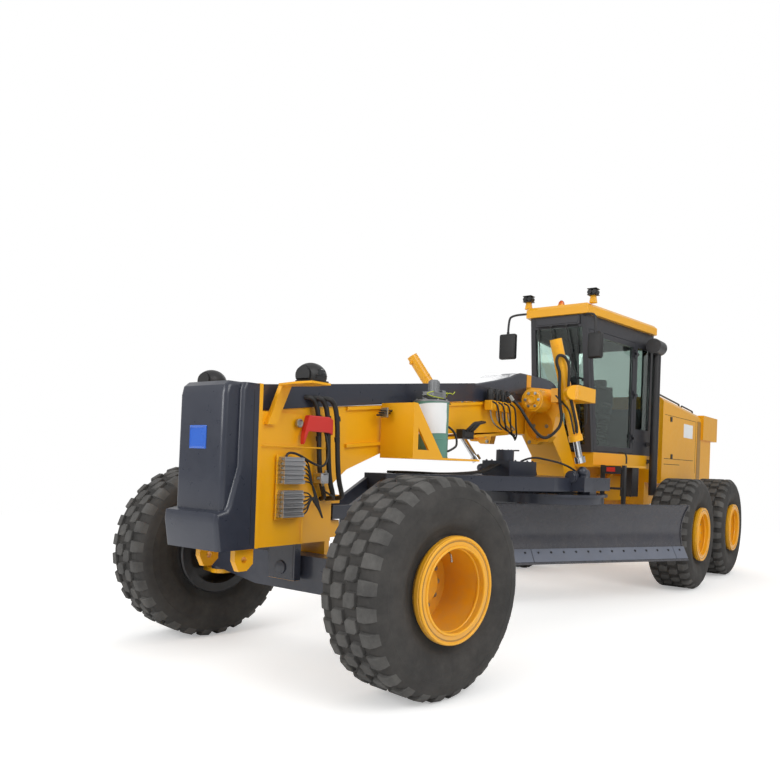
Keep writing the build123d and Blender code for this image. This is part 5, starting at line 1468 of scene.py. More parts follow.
    def solenoids(self) -> None:
        """Set the row of solenoid valves on the beam ahead of the saddle, with their pipes."""
        blocks, coils, pipes = [], [], []
        for k in range(4):
            x = ahead(-2.70 - 0.14 * k)
            z = 2.335
            body = box("body", (x - 0.05, 0.262, z), (x + 0.05, 0.352, z + 0.11))
            blocks.append(bevel(inset_and_push(body, (0, 1, 0), 0.014, -0.006), 0.005, 1))
            coil = drum("coil", (x, 0.305, z + 0.11), (x, 0.305, z + 0.235), 0.042, 28)
            coils.append(smooth(bevel(inset_and_push(coil, (0, 0, 1), 0.02, -0.020), 0.006, 2)))
            plug = box("plug", (x - 0.02, 0.335, z + 0.135), (x + 0.02, 0.358, z + 0.195))
            coils.append(bevel(plug, 0.004, 1))
            pipes.append(tube(
                "pipe", ((x, 0.312, z + 0.01), (x, 0.315, z - 0.05), (x - 0.02, 0.322, z - 0.10),
                    (x - 0.08, 0.322, z - 0.15), (x - 0.20, 0.318, z - 0.19),
                         (x - 0.30 + 0.05 * k, 0.300, z - 0.20)), 0.009, 8))
        dress(joined("solenoid_blocks", blocks), self.shelf.take(YELLOW), "front_frame")
        dress(joined("solenoid_coils", coils), self.shelf.take(PLASTIC), "front_frame")
        dress(joined("solenoid_pipes", pipes), self.shelf.take(ZINC), "front_frame")
        manifold = box("swing_manifold", (ahead(-2.30), 0.262, 1.985), (ahead(-2.06), 0.345, 2.085))
        bevel(inset_and_push(manifold, (0, 1, 0), 0.02, -0.01), 0.008, 2)
        dress(manifold, self.shelf.take(PLASTIC), "front_frame")
        loops = [
            tube("loop", ((ahead(-2.12 - 0.06 * k), 0.34, 2.06), (ahead(-2.12 - 0.06 * k), 0.39, 2.10),
                (ahead(-2.2 - 0.06 * k), 0.40, 2.16),
                          (ahead(-2.34 - 0.05 * k), 0.36, 2.17), (ahead(-2.50 - 0.04 * k), 0.315, 2.19)),
                          0.013, 8)
            for k in range(3)
        ]
        dress(joined("swing_hoses", loops), self.shelf.take(HOSE), "front_frame")

    def saddle_covers(self) -> None:
        """Cap the pin housings, bolt the saddle's halves together and set bolts in its round recesses."""
        covers, heads = [], []
        for side in (1, -1):
            y = side * self.cap_y
            face = 1.405
            ring = drum("ring", (face - 0.01, y, self.cap_z), (face + 0.016, y, self.cap_z), 0.118, 48)
            covers.append(smooth(bevel(inset_and_push(ring, (1, 0, 0), 0.03, 0.008), 0.004, 2)))
            boss = drum("boss", (face, y, self.cap_z), (face + 0.030, y, self.cap_z), 0.052, 32)
            covers.append(smooth(bevel(inset_and_push(boss, (1, 0, 0), 0.012, 0.010), 0.004, 2)))
            for k in range(6):
                turn = k * math.tau / 6
                at = (face + 0.014, y + 0.088 * math.cos(turn), self.cap_z + 0.088 * math.sin(turn))
                heads.append(bolt("cap_bolt", at, (1, 0, 0), 0.028, 0.014))
            for dy, z in ((0.308, 2.23), (0.482, 2.221), (0.371, 2.095)):
                heads.append(bolt("recess_bolt", (1.066, side * dy, z), (1, 0, 0), 0.036, 0.020))
            for dy, z in ((0.66, 2.58), (0.70, 2.49), (0.33, 2.64), (0.56, 2.10), (0.30, 2.02)):
                heads.append(bolt("saddle_bolt", (self.saddle_x, side * dy, z), (1, 0, 0), 0.034, 0.018))
        dress(joined("saddle_caps", covers), self.shelf.take(YELLOW), "front_frame")
        dress(joined("saddle_bolts", heads), self.shelf.take(ZINC), "front_frame")

    def cover_hump(self) -> None:
        """Carry the beam's cover over the saddle in a rounded hump."""
        outline = (
            (-2.470, 2.590), (-2.490, 2.616), (-2.940, 2.704), (-3.330, 2.792), (-3.480, 2.846),
            (-3.600, 2.868), (-4.140, 2.876),
            (-4.330, 2.874), (-4.470, 2.862), (-4.620, 2.826), (-4.720, 2.730), (-4.740, 2.640),
            (-4.300, 2.600),
        )
        hump = slab("cover_hump", tuple((ahead(x), z) for x, z in outline), -0.234, 0.234)
        bevel(hump, 0.022, 3, lambda edge: all(abs(v.co.y) > 0.23 for v in edge.verts)
              and edge.verts[0].co.y * edge.verts[1].co.y > 0 and all(v.co.z > 2.60 for v in edge.verts))
        dress(smooth(hump, 35), self.shelf.take(SLATE), "front_frame")

    def lift_cylinder_fittings(self) -> None:
        """Give each lift cylinder its gland nut, end cap, ports, clamps and hoses."""
        for side in ("left", "right"):
            way = 1 if side == "left" else -1
            top = Vector((1.447, way * 0.894, 2.58))
            up = Vector(LEFT_BARREL_UP if way > 0 else RIGHT_BARREL_UP)
            out = Vector((1, 0.35 * way, 0))
            out = (out - up * out.dot(up)).normalized()
            metal = []
            gland = drum("gland", top - up * 0.566, top - up * 0.53, 0.078, 6)
            metal.append(bevel(gland, 0.004, 1))
            cap = drum("cap", top + up * 0.625, top + up * 0.638, 0.052, 32)
            metal.append(smooth(bevel(inset_and_push(cap, up, 0.014, 0.004), 0.002, 1)))
            for along in (0.56, -0.47):
                at = top + up * along + out * 0.066
                port = drum("port", at, at + out * 0.035, 0.020, 20)
                metal.append(smooth(bevel(inset_and_push(port, out, 0.005, 0.006), 0.002, 1)))
            for along in (0.30, -0.16, -0.36):
                band = drum("band", top + up * along, top + up * (along + 0.03), 0.0728, 36)
                metal.append(smooth(bevel(band, 0.003, 1)))
            dress(joined(f"cylinder_fittings_{side}", metal), self.shelf.take(YELLOW), f"lift_barrel_{side}")
            line = tube(
                f"cylinder_line_{side}",
                (top - up * 0.47 + out * 0.10, top - up * 0.45 + out * 0.125, top - up * 0.36 + out * 0.112,
                    top - up * 0.20 + out * 0.105,
                 top - up * 0.12 + out * 0.125 - Vector((0, way * 0.05, 0)),
                 top - up * 0.02 + Vector((-0.03, -way * 0.15, 0))), 0.010, 8,
            )
            dress(line, self.shelf.take(HOSE), f"lift_barrel_{side}")

    def loop_hose(self) -> None:
        """Loop the big hose from the saddle down and up along the left lift cylinder to its top."""
        top, up = Vector((1.447, 0.894, 2.58)), Vector((0.21156485, -0.15414241, 0.96513234))
        inward, forward = Vector((0.598, -0.801, 0)), Vector((0.801, 0.598, 0))

        def beside(along: float, left: float, front: float) -> Point:
            """Return a point near the barrel: along it, to its inner side and ahead of it."""
            return tuple(top + up * along + inward * left + forward * front)

        route = (
            (ahead(-3.10), 0.36, 2.50), (ahead(-3.16), 0.44, 2.42), (ahead(-3.22), 0.54, 2.22),
            (ahead(-3.32), 0.66, 2.04),
            (ahead(-3.38), 0.76, 2.08), beside(-0.36, 0.13, 0.07), beside(-0.10, 0.125, 0.085),
            beside(0.10, 0.085, 0.10),
            beside(0.24, 0.055, 0.105), beside(0.36, 0.075, 0.10), beside(0.44, 0.035, 0.105),
            beside(0.43, -0.04, 0.10),
            beside(0.34, -0.075, 0.095), beside(0.20, -0.045, 0.105), beside(0.04, 0.0, 0.11),
            beside(-0.16, -0.01, 0.11),
            beside(-0.34, -0.015, 0.105), beside(-0.43, -0.012, 0.10), beside(-0.47, -0.005, 0.075),
        )
        hose = tube("loop_hose", route, 0.018, 8)
        hose.data.materials.clear()
        hose.data.materials.append(self.shelf.take(HOSE))
        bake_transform(hose)
        nuts = []
        for at, way in (((ahead(-3.10), 0.355, 2.505), (-0.3, 0.5, -0.8)),):
            turn = Vector(way).normalized()
            nuts.append(bevel(drum("nut", Vector(at) - turn * 0.03, Vector(at) + turn * 0.04, 0.030, 6),
                0.003, 1))
        dress(joined("loop_nuts", nuts), self.shelf.take(ZINC), "front_frame")

    def beam_lines(self) -> None:
        """String the small lines, cable and clips between the pump, the solenoids and the saddle."""
        lines, clips = [], []
        for k in range(4):
            x = ahead(-2.70 - 0.14 * k)
            lines.append(tube(
                "line", ((x + 0.03, 0.35, 2.43), (x + 0.035, 0.41, 2.41), (x + 0.01, 0.42, 2.33),
                    (x - 0.07, 0.39, 2.24 - 0.03 * k),
                         (x - 0.18, 0.35, 2.15 - 0.03 * k), (ahead(-3.30), 0.32, 2.08 - 0.02 * k)), 0.010, 8))
            lines.append(tube(
                "cable", ((x, 0.345, 2.50), (x - 0.02, 0.385, 2.56), (x - 0.08, 0.36, 2.59),
                    (x - 0.15, 0.31, 2.555)), 0.006, 8))
        for k in range(3):
            lines.append(tube(
                "run", ((ahead(-0.62), 0.310 + 0.022 * k, 2.128 + 0.02 * k),
                    (ahead(-1.0), 0.315 + 0.02 * k, 2.15 + 0.02 * k),
                        (ahead(-1.16), 0.31 + 0.02 * k, 2.165 + 0.02 * k),
                        (ahead(-1.24), 0.31, 2.17 + 0.012 * k)), 0.009, 8))
        for x in (-0.70, -0.95, -1.15):
            clip = box("clip", (ahead(x) - 0.012, 0.295, 2.11 - 0.06 * (x + 0.7)),
                (ahead(x) + 0.012, 0.375, 2.20 - 0.06 * (x + 0.7)))
            clips.append(bevel(clip, 0.004, 1))
        dress(joined("beam_lines", lines), self.shelf.take(HOSE), "front_frame")
        dress(joined("beam_clips", clips), self.shelf.take(ZINC), "front_frame")

    def build(self) -> None:
        """Build the pieces on the beam."""
        self.beam_lines()
        self.cover_hump()
        self.lift_cylinder_fittings()
        self.loop_hose()
        self.drum_hoops()
        self.pump_head()
        self.solenoids()
        self.saddle_covers()
# ---------------------------------------------------------------- cowl
@dataclass
class Cowl(Assembly):
    """The nose cowl drawn anew with round edges, a flared foot and a strip of painted shade for the seam down
    each side.
    """

    back_x: float = 5.695
    front_x: float = 6.035
    half: float = 0.3
    low_z: float = 1.025
    top_z: float = 2.262

    def build(self) -> None:
        """Shape the shell and its foot, then set the narrower front panel into them above the ledge."""
        shell = slab(
            "cowl_shell",
            ((self.back_x, self.low_z), (6.040, self.low_z), (6.0745, 1.230), (6.066, 1.300), (5.972, 1.318),
                (5.955, 1.345),
             (5.868, 1.640), (5.862, 2.200), (5.835, self.top_z - 0.004), (self.back_x, self.top_z - 0.004)),
            -self.half, self.half,
        )
        bevel(shell, 0.034, 4, lambda edge: all(abs(v.co.y) > 0.29 for v in edge.verts)
              and edge.verts[0].co.y * edge.verts[1].co.y > 0 and all(v.co.x > 5.80 for v in edge.verts))
        panel = slab(
            "cowl_panel",
            ((5.790, 1.300), (5.995, 1.300), (5.998, 1.36), (5.988, 2.16), (5.972, 2.228),
                (5.930, self.top_z), (5.790, self.top_z)),
            -0.262, 0.262,
        )
        bevel(panel, 0.040, 5, lambda edge: all(abs(v.co.y) > 0.25 for v in edge.verts)
              and edge.verts[0].co.y * edge.verts[1].co.y > 0)
        shell = joined("cowl_shell", [shell, panel])
        dress(smooth(shell, 35), self.shelf.take(SLATE), "front_frame", ("cowl",))
        # Painted shade: a thin near-black strip down each side stands in for the shade in the seam.
        seams = []
        for side in (1, -1):
            seam_shade_strip = box("seam_shade_strip", (5.742, side * 0.2985, 1.06), (5.747, side * 0.3012, 2.21))
            seams.append(bevel(seam_shade_strip, 0.001, 1))
        dress(joined("cowl_seam_shade", seams), self.shelf.take(GAP_SHADE), "front_frame")


# ---------------------------------------------------------------- drawbar, circle and blade
@dataclass
class BladeGear(Assembly):
    """The cutting edge, the circle's teeth, the drive motor's cover and the drawbar's cylinder."""

    centre: Point = (0.895, 0.350, 0.0)
    heading: float = math.radians(60)
    left: float = 2.095
    length: float = 4.88

    def ahead_of(self) -> Vector:
        """Return the direction the blade faces."""
        return Vector((math.cos(self.heading), math.sin(self.heading), 0))

    def along(self) -> Vector:
        """Return the direction along the blade, to its left end."""
        return Vector((-math.sin(self.heading), math.cos(self.heading), 0))

    def face(self, y: float, z: float) -> tuple[Vector, Vector]:
        """Return a point on the blade's face and the normal there.

        Args:
            y: Distance along the blade from the circle's centre.
            z: Height.

        Returns:
            The point and the normal.
        """
        start = Vector(self.centre) + self.ahead_of() * 2 + self.along() * y + Vector((0, 0, z))
        return touch("moldboard", start, -self.ahead_of())

    def cutting_edge(self) -> None:
        """Bolt the cutting edge and its end bits to the blade's foot."""
        plates, heads = [], []
        spans = ((self.left - 0.006, self.left - 0.20), (self.left - 0.206, -0.345),
            (-0.351, self.left - self.length + 0.206),
                 (self.left - self.length + 0.20, self.left - self.length + 0.006))
        for start, end in spans:
            top, _ = self.face((start + end) / 2, 0.715)
            low, _ = self.face((start + end) / 2, 0.566)
            up = (top - low).normalized()
            out = self.along().cross(up).normalized()
            if out.dot(self.ahead_of()) < 0:
                out = -out
            plate = box("plate", (0.0, end, 0.0), (0.010, start, (top - low).length))
            turn = Matrix((out, self.along(), up)).transposed().to_4x4()
            base = low - self.along() * ((start + end) / 2)
            plate.data.transform(Matrix.Translation(base) @ turn)
            tidy_normals(plate)
            plates.append(bevel(plate, 0.003, 1))
            count = max(1, round((start - end) / 0.19))
            for k in range(count):
                y = end + (k + 0.5) * (start - end) / count
                at = base + self.along() * y + up * 0.122 + out * 0.0085
                heads.append(bolt("edge_bolt", tuple(at), tuple(out), 0.026, 0.006))
        # The cutting edge is paler than the blade, partly for wear and partly as painted sheen for the light
        # on its upturned face.
        dress(joined("cutting_edge", plates), self.shelf.take(EDGE), "moldboard")
        # The bolt heads take the flat black made for painted shade.
        dress(joined("edge_bolts", heads), self.shelf.take(GAP_SHADE), "moldboard")
        ends = []
        for y in (self.left - 0.012, self.left - self.length + 0.012):
            side = []
            for k in range(7):
                at, out = self.face(y, 0.72 + k * 0.09)
                side.append(at + out * 0.004)
            ends.append(tube("rim", tuple(side), 0.008, 6))
        high = [self.face(self.left - 0.02 - k * 0.605, 1.262)[0] + Vector((0, 0, 0.003)) for k in range(9)]
        ends.append(tube("lip", tuple(high), 0.008, 3))
        dress(joined("blade_rims", ends), self.shelf.take(BLADE), "moldboard")

    def circle_details(self) -> None:
        """Cut teeth round the circle's inside and drop bolts round its flange."""
        ring = []
        count = 64
        for k in range(count):
            tooth = box("tooth", (0.583, -0.014, 1.30), (0.60, 0.014, 1.366))
            pick(tooth, faces=facing((-1, 0, 0)))
            bpy.ops.transform.resize(value=(1, 0.5, 1), center_override=(0.583, 0, 1.333))
            bpy.ops.object.mode_set(mode="OBJECT")
            tooth.data.transform(Matrix.Translation(self.centre) @ Matrix.Rotation(k * math.tau / count, 4,
                "Z"))
            ring.append(tooth)
        dress(joined("circle_teeth", ring), self.shelf.take(WORN), "circle")
        heads = []
        for k in range(36):
            turn = k * math.tau / 36
            at = (self.centre[0] + 0.80 * math.cos(turn), self.centre[1] + 0.80 * math.sin(turn), 1.3995)
            heads.append(bolt("circle_bolt", at, (0, 0, 1), 0.020, 0.006))
        dress(joined("circle_bolts", heads), self.shelf.take(SLATE), "circle")

    def on_bar(self, x: float, y: float, z: float) -> Vector:
        """Return a point given along and across the drawbar.

        Args:
            x: Distance ahead of the ball, along the bar.
            y: Distance to the bar's left.
            z: Height.

        Returns:
            The point.
        """
        along = Vector((0.9955, -0.0949, 0))
        return Vector((4.565, 0, 0)) + along * x + Vector((0.0949, 0.9955, 0)) * y + Vector((0, 0, z))

    def drawbar_details(self) -> None:
        """Dress the drive housing with bolts, a motor cap and hoses, and lay the side-shift cylinder's end.
        """
        dark, heads = [], []
        for x in (-3.20, -3.08, -2.95, -2.82, -2.71):
            for y in (-0.165, 0.165):
                heads.append(bolt("housing_bolt", tuple(self.on_bar(x, y, 1.769)), (0, 0, 1), 0.024, 0.014))
        motor = self.on_bar(-2.85, 0, 1.895)
        cap = drum("cap", motor, motor + Vector((0, 0, 0.004)), 0.085, 36)
        dark.append(bevel(cap, 0.001, 1))
        for k in range(6):
            turn = k * math.tau / 6
            at = motor + Vector((0.07 * math.cos(turn), 0.07 * math.sin(turn), 0))
            heads.append(bolt("motor_bolt", tuple(at), (0, 0, 1), 0.020, 0.010))
        ram = [
            (0.0, 0.062), (0.02, 0.074), (0.075, 0.074), (0.09, 0.055), (0.30, 0.055), (0.315, 0.070),
            (0.36, 0.070),
        ]
        start = Vector((ahead(-3.50), 0.95, 1.606))
        end = Vector((ahead(-3.937), 0.95, 1.626))
        way = (end - start).normalized()
        for (near, radius), (far, _) in zip(ram, ram[1:]):
            dark.append(smooth(bevel(drum("ram", start + way * near, start + way * far, radius, 36), 0.004,
                1)))
        dark.append(smooth(bevel(drum("eye", end - Vector((0, 0.045, 0)), end + Vector((0, 0.045, 0)), 0.075,
            36), 0.006, 2)))
        dress(joined("drawbar_ram", dark), self.shelf.take(SLATE), "drawbar")
        dress(joined("drawbar_bolts", heads), self.shelf.take(SLATE), "drawbar")
        hoses = []
        for k in range(3):
            y = 0.05 - 0.05 * k
            hoses.append(tube(
                "hose",
                (self.on_bar(-2.67, y, 1.72), self.on_bar(-2.61, y + 0.01, 1.725),
                    self.on_bar(-2.50, y + 0.015, 1.68 - 0.01 * k),
                 self.on_bar(-2.30, y + 0.01, 1.625), self.on_bar(-1.7, y, 1.60),
                 self.on_bar(-1.15, y, 1.615), self.on_bar(-0.85, y, 1.613)), 0.013, 8,
            ))
        hoses.append(tube(
            "hose",
            (self.on_bar(-2.95, 0.17, 1.775), self.on_bar(-3.0, 0.26, 1.83), self.on_bar(-3.12, 0.42, 1.80),
                self.on_bar(-3.24, 0.55, 1.76),
             Vector((ahead(-3.64), 0.93, 1.70)), Vector((ahead(-3.70), 0.945, 1.665))), 0.012, 10,
        ))
        dress(joined("drawbar_hoses", hoses), self.shelf.take(HOSE), "drawbar")

    def build(self) -> None:
        """Build the blade's, circle's and drawbar's pieces."""
        self.cutting_edge()
        self.circle_details()
        self.drawbar_details()


# ---------------------------------------------------------------- ladder, tank and hood
@dataclass
class Tail(Assembly):
    """The steps' plates, the tank's caps, the painted shade between the hood's panels, its latches, stripes
    and label plates.
    """

    def steps(self) -> None:
        """Fit tread plates, side cheeks, a bare marker plate and the grab irons beside the steps."""
        plates, marker, cap, grips = [], [], [], []
        for side in (1, -1):
            for z in (0.60, 0.88, 1.16, 1.44):
                tread = box("tread", (-0.525, side * 0.79 - 0.125, z + 0.012),
                    (-0.412, side * 0.79 + 0.125, z + 0.020))
                inset_and_push(bevel(tread, 0.002, 1), (0, 0, 1), 0.010, -0.003)
                plates.append(tread)
                for k in range(5):
                    plates.append(bolt("stud", (-0.465, side * 0.79 - 0.09 + 0.045 * k, z + 0.017), (0, 0, 1),
                        0.018, 0.004))
            cheek = box("cheek", (-0.522, side * 0.945, 1.46), (-0.448, side * 0.955, 1.76))
            plates.append(bevel(cheek, 0.003, 1))
            header = box("header", (-0.412, side * 0.79 - 0.13, 1.655), (-0.406, side * 0.79 + 0.13, 1.765))
            plates.append(bevel(header, 0.002, 1))
            card = box("card", (-0.4065, side * 0.79 - 0.07, 1.685), (-0.4045, side * 0.79 + 0.05, 1.745))
            marker.append(card)
            lid = drum("lid", (-1.20, side * 0.775, 1.748), (-1.20, side * 0.775, 1.772), 0.045, 32)
            cap.append(smooth(bevel(inset_and_push(lid, (0, 0, 1), 0.012, 0.006), 0.003, 1)))
            grips.append(tube(
                "grip", ((-0.545, side * 0.945, 1.80), (-0.535, side * 0.952, 1.90),
                    (-0.60, side * 0.90, 1.955), (-0.72, side * 0.78, 1.955)), 0.012, 8,
            ))
        dress(joined("step_plates", plates), self.shelf.take(BLACK), "front_frame")
        dress(joined("step_cards", marker), self.shelf.take(RED), "front_frame")
        dress(joined("tank_caps", cap), self.shelf.take(YELLOW), "front_frame")
        dress(joined("step_grips", grips), self.shelf.take(BLACK), "front_frame")

    def hood_side(self, side: int, x: float, z: float) -> float:
        """Return how far out the hood's side stands at a place.

        Args:
            side: 1 for the left, -1 for the right.
            x: Place along.
            z: Height.

        Returns:
            The distance from the machine's middle, signed.
        """
        return touch("hood", (x, side * 3, z), (0, -side, 0))[0].y

    def strip(self, side: int, low: tuple[float, float], high: tuple[float, float],
        proud: float = 0.002) -> bpy.types.Object:
        """Lay a thin strip on the hood's side.

        Args:
            side: 1 for the left, -1 for the right.
            low: Its rear and lower corner, as x and z.
            high: Its front and upper corner.
            proud: How far it stands off the surface.

        Returns:
            The strip.
        """
        y = self.hood_side(side, (low[0] + high[0]) / 2, (low[1] + high[1]) / 2)
        near, far = sorted((y - side * 0.006, y + side * proud))
        return box("strip", (low[0], near, low[1]), (high[0], far, high[1]))

    def hood_details(self) -> None:
        """Draw strips of painted shade between the hood's panels, the dark stripe, latches and bare label
        plates.
        """
        gap_shades, stripes, latches, labels = [], [], [], []
        for side in (1, -1):
            # Painted shade: near-black strips stand in for the shade between the hood's panels.
            gap_shades.append(self.strip(side, (ahead(-9.40), 1.922), (ahead(-7.60), 1.930)))
            gap_shades.append(self.strip(side, (ahead(-8.50), 1.830), (ahead(-7.60), 1.838)))
            gap_shades.append(self.strip(side, (ahead(-9.52), 2.640), (ahead(-7.60), 2.646)))
            gap_shades.append(self.strip(side, (ahead(-9.52), 1.70), (ahead(-9.512), 2.646)))
            stripes.append(bevel(self.strip(side, (ahead(-9.86), 1.60), (ahead(-9.62), 2.66), 0.006), 0.002,
                1))
            for x, z in ((-7.935, 2.585), (-8.017, 1.965)):
                plate = self.strip(side, (ahead(x) - 0.045, z - 0.04), (ahead(x) + 0.045, z + 0.04), 0.012)
                latches.append(bevel(plate, 0.004, 2))
            labels.append(self.strip(side, (ahead(-9.30), 2.32), (ahead(-8.72), 2.56), 0.0025))
        dress(joined("hood_gap_shades", gap_shades), self.shelf.take(GAP_SHADE), "rear_frame")
        dress(joined("hood_stripes", stripes), self.shelf.take(OCHRE_BAND_AND_RIM_SHADE), "rear_frame")
        dress(joined("hood_latches", latches), self.shelf.take(PLASTIC), "rear_frame")
        dress(joined("hood_plates", labels), self.shelf.take(PAPER), "rear_frame")

    def build(self) -> None:
        """Build the tail's pieces."""
        self.steps()
        self.hood_details()
# ---------------------------------------------------------------- cab
@dataclass
class Cab(Assembly):
    """The cab's wipers, trim, handles, mirrors, lamps, beacon, seat and controls."""

    front_x: float = -0.235
    half: float = 0.358
    splay: float = math.radians(7.5)
    top_z: float = 3.87

    def screen(self, y: float, z: float, out: float = 0.0) -> Vector:
        """Return a point on the windscreen's outer face.

        Args:
            y: Its place across.
            z: Its height.
            out: How far it stands off the face.

        Returns:
            The point.
        """
        return Vector((self.front_x - 0.27 * (self.top_z - z) / 1.92 + out, y, z))

    def wall(self, side: int, along: float, z: float, out: float = 0.0) -> Vector:
        """Return a point on a side wall's outer plane.

        Args:
            side: 1 for the left wall, -1 for the right.
            along: Distance back from the front corner.
            z: Its height.
            out: How far it stands off the wall.

        Returns:
            The point.
        """
        x = self.front_x - along * math.cos(self.splay) + out * math.sin(self.splay)
        y = self.half + along * math.sin(self.splay) + out * math.cos(self.splay)
        return Vector((x, side * y, z))

    def wipers(self) -> None:
        """Hang two wipers from the top of the windscreen: motor cap, arm, spring arm and blade."""
        parts = []
        for y, tip_y, tip_z in ((0.13, 0.235, 3.10), (-0.10, -0.02, 3.20)):
            head = self.screen(y, 3.735, 0.012)
            cap = drum("cap", head - Vector((0.02, 0, 0)), head + Vector((0.022, 0, 0.003)), 0.026, 24)
            parts.append(smooth(bevel(cap, 0.006, 2)))
            tip = self.screen(tip_y, tip_z, 0.030)
            elbow = head.lerp(tip, 0.30) + Vector((0.016, 0, 0))
            parts.append(tube("arm", (head + Vector((0.014, 0, 0)), elbow, tip), 0.0065, 6))
            parts.append(tube("spring", (head + Vector((0.008, 0.022, -0.01)),
                elbow + Vector((0.004, 0.014, 0)), tip + Vector((-0.004, 0.008, 0.06))), 0.003, 6))
            blade = box("blade", (-0.004, -0.007, -0.24), (0.006, 0.007, 0.24))
            inset_and_push(bevel(blade, 0.002, 1), (1, 0, 0), 0.003, 0.003)
            rubber = box("rubber", (-0.016, -0.003, -0.245), (-0.004, 0.003, 0.245))
            lean = Matrix.Rotation(math.atan2(0.27, 1.92), 4, "Y") @ Matrix.Rotation(0.30 if y > 0 else 0.22,
                4, "X")
            for piece in (blade, rubber):
                piece.data.transform(Matrix.Translation(self.screen(tip_y, tip_z, 0.020)) @ lean)
                parts.append(piece)
        dress(joined("wipers", parts), self.shelf.take(PLASTIC), "front_frame")

    def trim(self) -> None:
        """Fit the panel under the roof's edge, the windscreen's lower lip and the glass's seals."""
        header = box("header", (self.front_x - 0.012, -0.33, 3.735), (self.front_x + 0.016, 0.33, 3.868))
        bevel(inset_and_push(header, (1, 0, 0), 0.02, -0.006), 0.005, 2)
        lip = box("lip", (-0.515, -0.31, 1.972), (-0.462, 0.31, 2.02))
        bevel(lip, 0.008, 2)
        dress(joined("screen_trim", [header, lip]), self.shelf.take(HEADER), "front_frame")
        seals = []
        corners = [self.screen(y, z, 0.004) for y,
            z in ((-0.292, 3.72), (0.292, 3.72), (0.292, 2.05), (-0.292, 2.05))]
        for k in range(4):
            seals.append(tube("seal", (corners[k], corners[(k + 1) % 4]), 0.007, 2))
        for side in (1, -1):
            light = [self.wall(side, a, z, 0.001) for a,
                z in ((1.61, 3.60), (2.055, 3.60), (2.055, 2.36), (1.61, 2.36))]
            for k in range(4):
                seals.append(tube("seal", (light[k], light[(k + 1) % 4]), 0.006, 2))
        dress(joined("glass_seals", seals), self.shelf.take(PLASTIC), "front_frame")

    def door_gear(self) -> None:
        """Give each door its grab rail, pull handle, latch and hinges."""
        for side, name in ((1, "left"), (-1, "right")):
            metal, dark = [], []
            for z in (2.25, 3.42):
                at = self.wall(side, 1.548, z, 0.012)
                dark.append(bevel(drum("hinge", at - Vector((0, 0, 0.05)), at + Vector((0, 0, 0.05)), 0.014,
                    20), 0.003, 1))
            latch = box("latch", (-0.045, -0.012, -0.07), (0.045, 0.014, 0.07))
            inset_and_push(latch, (0, 1, 0), 0.012, -0.008)
            bevel(latch, 0.004, 1)
            turn = Matrix.Rotation(self.splay * -side, 4,
                "Z") @ (Matrix.Identity(4) if side > 0 else Matrix.Scale(-1, 4, (0, 1, 0)))
            latch.data.transform(Matrix.Translation(self.wall(side, 0.13, 2.78, 0.004)) @ turn)
            dark.append(tidy_normals(latch))
            rail = tube(
                "rail",
                (self.wall(side, 0.115, 2.30, 0.002), self.wall(side, 0.115, 2.32, 0.045),
                    self.wall(side, 0.115, 2.40, 0.055),
                 self.wall(side, 0.115, 2.62, 0.055), self.wall(side, 0.115, 2.68, 0.045),
                 self.wall(side, 0.115, 2.70, 0.002)), 0.012, 6,
            )
            dark.append(rail)
            pull = tube(
                "pull",
                (self.wall(side, 0.20, 2.98, -0.03), self.wall(side, 0.20, 2.98, -0.075),
                    self.wall(side, 0.24, 2.97, -0.10),
                 self.wall(side, 0.95, 2.93, -0.10), self.wall(side, 1.0, 2.93, -0.075),
                 self.wall(side, 1.0, 2.93, -0.03)), 0.013, 6,
            )
            metal.append(pull)
            dress(joined(f"door_hinges_{name}", dark), self.shelf.take(PLASTIC), f"door_{name}")
            dress(joined(f"door_pull_{name}", metal), self.shelf.take(BLACK), f"door_{name}")

    def roof_gear(self) -> None:
        """Set the twin work lamps on each side, the amber beacon and the roof's ribs."""
        housings, glass, bright, stands = [], [], [], []
        for side in (1, -1):
            for y in (0.455, 0.525):
                shell = drum("shell", (-0.335, side * y, 4.165), (-0.235, side * y, 4.165), 0.036, 28)
                pick(shell, faces=facing((-1, 0, 0)))
                bpy.ops.mesh.extrude_region_move(TRANSFORM_OT_translate={"value": (-0.018, 0, 0)})
                bpy.ops.transform.resize(value=(1, 0.6, 0.6), center_override=(-0.353, side * y, 4.165))
                bpy.ops.object.mode_set(mode="OBJECT")
                housings.append(smooth(inset_and_push(shell, (1, 0, 0), 0.006, -0.014)))
                lens = drum("lens", (-0.248, side * y, 4.165), (-0.240, side * y, 4.165), 0.030, 28)
                glass.append(smooth(bevel(lens, 0.002, 1)))
                dish = drum("dish", (-0.262, side * y, 4.165), (-0.252, side * y, 4.165), 0.030, 28)
                bright.append(smooth(inset_and_push(dish, (1, 0, 0), 0.010, -0.006)))
            cage = box("cage", (-0.352, side * 0.49 - 0.068, 4.122), (-0.222, side * 0.49 + 0.068, 4.134))
            housings.append(bevel(cage, 0.004, 1))
            cover = box("cover", (-0.352, side * 0.49 - 0.068, 4.203), (-0.218, side * 0.49 + 0.068, 4.215))
            housings.append(bevel(cover, 0.004, 1))
            stand = box("stand", (-0.34, side * 0.49 - 0.045, 4.018), (-0.25, side * 0.49 + 0.045, 4.124))
            pick(stand, faces=facing((0, 0, 1)))
            bpy.ops.transform.resize(value=(0.7, 0.7, 1), center_override=(-0.295, side * 0.49, 4.124))
            bpy.ops.object.mode_set(mode="OBJECT")
            stands.append(bevel(stand, 0.006, 2))
        dress(joined("work_lamps", housings), self.shelf.take(PLASTIC), "front_frame",
            ("roof_lamps",))
        dress(joined("work_lamp_lenses", glass), self.shelf.take(LENS), "front_frame")
        dress(joined("work_lamp_dishes", bright), self.shelf.take(REFLECTOR), "front_frame")
        base = drum("base", (-0.335, 0, 4.018), (-0.335, 0, 4.045), 0.054, 36)
        stands.append(smooth(bevel(inset_and_push(base, (0, 0, 1), 0.008, 0.006), 0.004, 2)))
